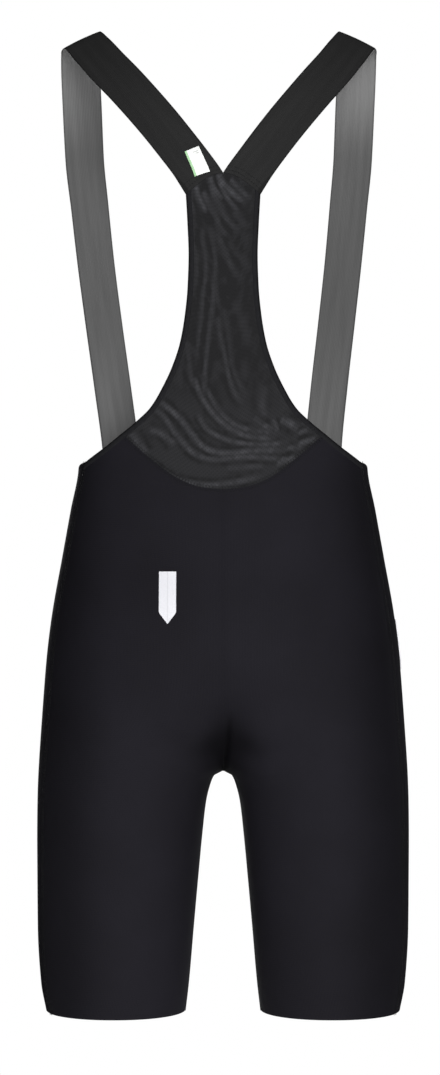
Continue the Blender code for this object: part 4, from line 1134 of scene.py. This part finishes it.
# The woven label and the reflective tabs. The label's free corners curl up: the curl starts at a share
# of its length, grows over another, and the last is its share in the middle of the width.
label = {"size": (0.0140, 0.0280), "at": (0.0190, -0.0050), "turn": math.radians(15.5), "cells": (14, 24),
         "lift": 0.0003, "curl": 0.0006, "curlShares": (0.1, 0.4, 0.35), "margin": 0.0012}
tab = {"size": (0.0158, 0.0480), "point": 0.0103, "tip": 0.004, "clearance": 0.00045, "rows": 30,
       "columns": 12, "backTop": (-0.0512, 0.1912), "sideTop": (0.0060, 0.1440)}


def labelPoint(up, side):
    # a point and normal of the label's face
    width, length = label["size"]
    cos, sin = math.cos(label["turn"]), math.sin(label["turn"])
    along = label["at"][0] + up * cos + side * sin
    across = label["at"][1] + side * cos - up * sin
    points, normals = strapPoint(along, across / (strap["width"] / 2))
    start, over, middle = label["curlShares"]
    free = ease((up / length - start) / over) * (middle + (1 - middle) * np.abs(side / width * 2) ** 2)
    lifted = label["lift"] + form["tabWall"] + label["curl"] * free
    return points + strapShift(along) + normals * lifted[..., None], normals


def labelEdge():
    # the line of stitches inside the label's edge, round three sides
    width, length = (size / 2 - label["margin"] for size in label["size"])
    columns, rows = label["cells"]
    rise, run = np.linspace(-length, length, rows), np.linspace(-width, width, columns)[1:-1]
    up = np.concatenate([rise, np.full_like(run, length), rise[::-1]])
    side = np.concatenate([np.full_like(rise, -width), run, np.full_like(rise, width)])
    return labelPoint(up, side)


def makeLabel():
    (width, length), (columns, rows) = label["size"], label["cells"]
    up = np.linspace(-length / 2, length / 2, rows + 1)[:, None]
    side = np.linspace(-width / 2, width / 2, columns + 1)[None]
    flat = np.stack(np.broadcast_arrays(-side, up), axis=-1)
    return makeCloth("neck_label_satin", "label_cloth", *labelPoint(up, side), flat, form["tabWall"],
                     [labelSatin, labelSatin])


def sideDepth(y, height):
    front = y > 0
    bend = np.where(front, form["frontRoundness"], form["backRoundness"])
    depth = np.where(front, smooth(torsoRows, 3, height), smooth(torsoRows, 2, height))
    return smooth(torsoRows, 1, height) * (1 - (np.abs(y) / depth) ** bend) ** (1 / bend)


def sideSurface(y, height):
    across, up = slopes(sideDepth, y, height)
    out = unit(np.stack(np.broadcast_arrays(1.0, across, up), axis=-1))
    return stack(sideDepth(y, height), y, height), out


def makeTab(name, surface, start):
    width, length = tab["size"]
    down = np.linspace(0, length, tab["rows"] + 1)[:, None]
    side = np.linspace(-1, 1, tab["columns"] + 1)[None]
    half = width / 2 * np.clip((length - down) / tab["point"], tab["tip"], 1)
    points, normals = surface(start[0] + side * half, start[1] - down + 0 * side)
    points = points + normals * (tab["clearance"] + form["tabWall"])
    flat = np.stack(np.broadcast_arrays(side * half, -down), axis=-1)
    return makeCloth(name, "reflective", points, normals, flat, form["tabWall"],
                     [reflectiveFilm, reflectiveFilm])


neckLabel = makeLabel()
tabBack = makeTab("tab_back_film", backSurface, tab["backTop"])
tabSide = makeTab("tab_side_film", sideSurface, tab["sideTop"])
print("label and tabs set")

# Sewing: rows of stitches along a seam's line, each a small spindle of thread. Metres and radians.
stitch = {"Pitch": 0.0027, "Length": 0.0022, "Width": 0.00050, "Height": 0.00040, "Sideways": 0.0,
          "Zigzag": 0.0, "Slant": 0.0, "Lift": 0.00010, "Unevenness": 0.0001}
# Flatlock: two rows of needle thread with the looper thread slanting between them. The real one has 5
# stitches a centimetre; 3.5 here, so they show.
needle = {**stitch, "Pitch": 0.0029, "Length": 0.0026, "Width": 0.00055, "Height": 0.00045}
looper = {**stitch, "Pitch": 0.0015, "Length": 0.0050, "Width": 0.00045, "Slant": 1.15, "Lift": 0.00016}
flatlockRows = ({**needle, "Sideways": -0.0024}, {**needle, "Sideways": 0.0024}, looper)
# Three-step zigzag that holds elastic: one row of short slanting stitches.
zigzagRow = {**stitch, "Pitch": 0.0021, "Length": 0.0024, "Zigzag": 0.0006, "Slant": 0.80, "Lift": 0.00012}
labelRow = {**stitch, "Pitch": 0.0016, "Length": 0.0012, "Width": 0.00030, "Height": 0.00025, "Lift": 0.00005,
            "Unevenness": 0.00005}
firstSeed = 11
spindle = {"Segments": 6, "Rings": 4, "Radius": 0.5}
spindlePoints = spindle["Segments"] * (spindle["Rings"] - 1) + 2


def makeStitchTree():
    tree = bpy.data.node_groups.new("stitches along a seam", "GeometryNodeTree")
    add = partial(addNode, tree)
    sockets = {"Seam": "Geometry", **dict.fromkeys(stitch, "Float"), "Seed": "Int", "Thread": "Material"}
    for name, kind in sockets.items():
        tree.interface.new_socket(name, in_out="INPUT", socket_type=f"NodeSocket{kind}")
    tree.interface.new_socket("Stitches", in_out="OUTPUT", socket_type="NodeSocketGeometry")
    given = add("NodeGroupInput").outputs
    curve = add("GeometryNodeMeshToCurve", given["Seam"])
    points = add("GeometryNodeCurveToPoints", {"Curve": curve, "Length": given["Pitch"]},
                 mode="LENGTH").outputs
    outwards = add("GeometryNodeInputNamedAttribute", {"Name": "out"}, data_type="FLOAT_VECTOR")
    crossed = add("VectorMath CROSS_PRODUCT", points["Tangent"], outwards)
    aside = add("VectorMath NORMALIZE", crossed)
    odd = add("Math MODULO", add("GeometryNodeInputIndex"), 2.0)
    sign = add("Math MULTIPLY_ADD", odd, 2.0, -1.0)
    chance = add("FunctionNodeRandomValue", {2: -1.0, 3: 1.0, "Seed": given["Seed"]},
                 data_type="FLOAT").outputs[1]
    stray = add("Math MULTIPLY", chance, given["Unevenness"])
    sideways = add("Math MULTIPLY_ADD", sign, given["Zigzag"], given["Sideways"])
    turn = add("Math MULTIPLY", sign, given["Slant"])
    lean, ahead = (add(f"Math {kind}", turn) for kind in ("SINE", "COSINE"))

    def mixed(*amounts):
        # a place or direction as a sum of the three directions at a point of the seam
        parts = [add("VectorMath SCALE", {0: vector, "Scale": amount})
                 for vector, amount in zip((aside, outwards, points["Tangent"]), amounts)]
        some = add("VectorMath ADD", parts[0], parts[1])
        return add("VectorMath ADD", some, parts[2])

    moved = add("GeometryNodeSetPosition", {"Geometry": points["Points"],
                                            "Offset": mixed(sideways, given["Lift"], stray)})
    facing = add("FunctionNodeAxesToRotation", {0: mixed(lean, 0.0, ahead), 1: outwards}, primary_axis="X",
                 secondary_axis="Z")
    ball = add("GeometryNodeMeshUVSphere", spindle)
    size = add("CombineXYZ", given["Length"], given["Width"], given["Height"])
    laid = add("GeometryNodeInstanceOnPoints", {"Points": moved, "Instance": ball, "Rotation": facing,
                                                "Scale": size})
    real = add("GeometryNodeRealizeInstances", laid)
    thread = add("GeometryNodeSetMaterial", {"Geometry": real, "Material": given["Thread"]})
    add("NodeGroupOutput", {"Stitches": thread})
    return tree


stitchTree = makeStitchTree()


def seamObject(lines):
    # the seams' lines as one mesh of edges, with the direction out of the cloth on its points
    firsts = np.cumsum([0, *(len(line) for line, _ in lines)])
    edges = [(first + k, first + k + 1) for first, (line, _) in zip(firsts, lines)
             for k in range(len(line) - 1)]
    points, outs = (np.concatenate(values) for values in zip(*lines))
    mesh = bpy.data.meshes.new("seam lines")
    mesh.from_pydata(points.tolist(), edges, [])
    layer = mesh.attributes.new("out", "FLOAT_VECTOR", "POINT")
    layer.data.foreach_set("vector", outs.astype(np.float32).ravel())
    return addObject("seam lines", mesh)


def sew(name, lines, rows, thread):
    # rows of stitches along the lines, made a plain mesh
    guide = seamObject(lines)
    identifiers = {item.name: item.identifier for item in stitchTree.interface.items_tree
                   if item.in_out == "INPUT"}
    points, faces = [], []
    for seed, row in enumerate(rows):
        rule = guide.modifiers.new("sewing", "NODES")
        rule.node_group = stitchTree
        for key, value in {**row, "Seed": firstSeed + seed, "Thread": thread}.items():
            rule[identifiers[key]] = value
        graph = bpy.context.evaluated_depsgraph_get()
        sewn = bpy.data.meshes.new_from_object(guide.evaluated_get(graph), depsgraph=graph)
        faces += [[len(points) + v for v in face.vertices] for face in sewn.polygons]
        points += [v.co[:] for v in sewn.vertices]
        bpy.data.meshes.remove(sewn)
        guide.modifiers.remove(rule)
    lineMesh = guide.data
    bpy.data.objects.remove(guide)
    bpy.data.meshes.remove(lineMesh)
    whole = bpy.data.meshes.new(name)
    whole.from_pydata(points, [], faces)
    whole.materials.append(thread)
    whole.shade_smooth()
    piece = addObject(name, whole)
    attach(piece, "root")
    print(name, len(points) // spindlePoints, "stitches")


def inset(line, aside):
    # a line moved sideways over the cloth
    points, normals = line
    return points + unit(np.cross(unit(np.gradient(points, axis=0)), normals)) * aside, normals


# How the lines are sampled, the rows' distances from each end of a strap, and the turned edge's width.
sewing = {"samples": 160, "strapSamples": 60, "strapReach": 0.92, "strapRows": (0.0035, 0.0080),
          "turnedEdge": 0.006, "aboveElastic": 0.0001}


def sewSeams():
    sides = [edgeLinesOf[f"side_panel_{side}"][end]
             for side in ("left", "right") for end in ("first", "last")]
    inseams = [tuple(values[:crotchRow + 1] for values in edgeLinesOf[f"back_panel_{side}"]["first"])
               for side in ("left", "right")]
    middle = tuple(values[crotchRow:] for values in edgeLinesOf["front_panel_left"]["last"])
    sew("side_seam_stitches", sides, flatlockRows, blackThread)
    sew("inner_seam_stitches", [*inseams, middle], flatlockRows, blackThread)
    sew("mesh_seam_stitches", [edgeLinesOf["mesh_panel"]["bottom"]], flatlockRows, blackThread)

    # zigzag down the elastic of the back's edge, and round the fronts' turned edge
    elastics = []
    away, height = sum(resampled(line, sewing["samples"]) for line in (bindingLine, edgeLine)).T / 2
    for side in (-1, 1):
        points, normals = backSurface(side * away, height)
        elastics.append((points + normals * (binding["raise"] + sewing["aboveElastic"]), normals))
    sew("edge_elastic_stitches", elastics, [zigzagRow], blackThread)
    fronts = [inset(edgeLinesOf[f"front_panel_{side}"]["top"], -sewing["turnedEdge"] * turn)
              for side, turn in (("left", 1), ("right", -1))]
    sew("front_edge_stitches", fronts, [zigzagRow], blackThread)

    # two straight rows across each end of the straps, and one round three sides of the label
    ends, fromEnd = [], sewing["strapRows"]
    across = np.linspace(-1, 1, sewing["strapSamples"]) * sewing["strapReach"]
    for along in (*fromEnd, *(strapLength - row for row in reversed(fromEnd))):
        row = np.full_like(across, along)
        points, normals = strapPoint(row, across)
        ends += [(points * turn + strapShift(row), normals * turn) for turn in (1, mirror)]
    sew("strap_stitches", ends, [stitch], blackThread)
    sew("label_stitches", [labelEdge()], [labelRow], whiteThread)


sewSeams()
print("seams sewn")
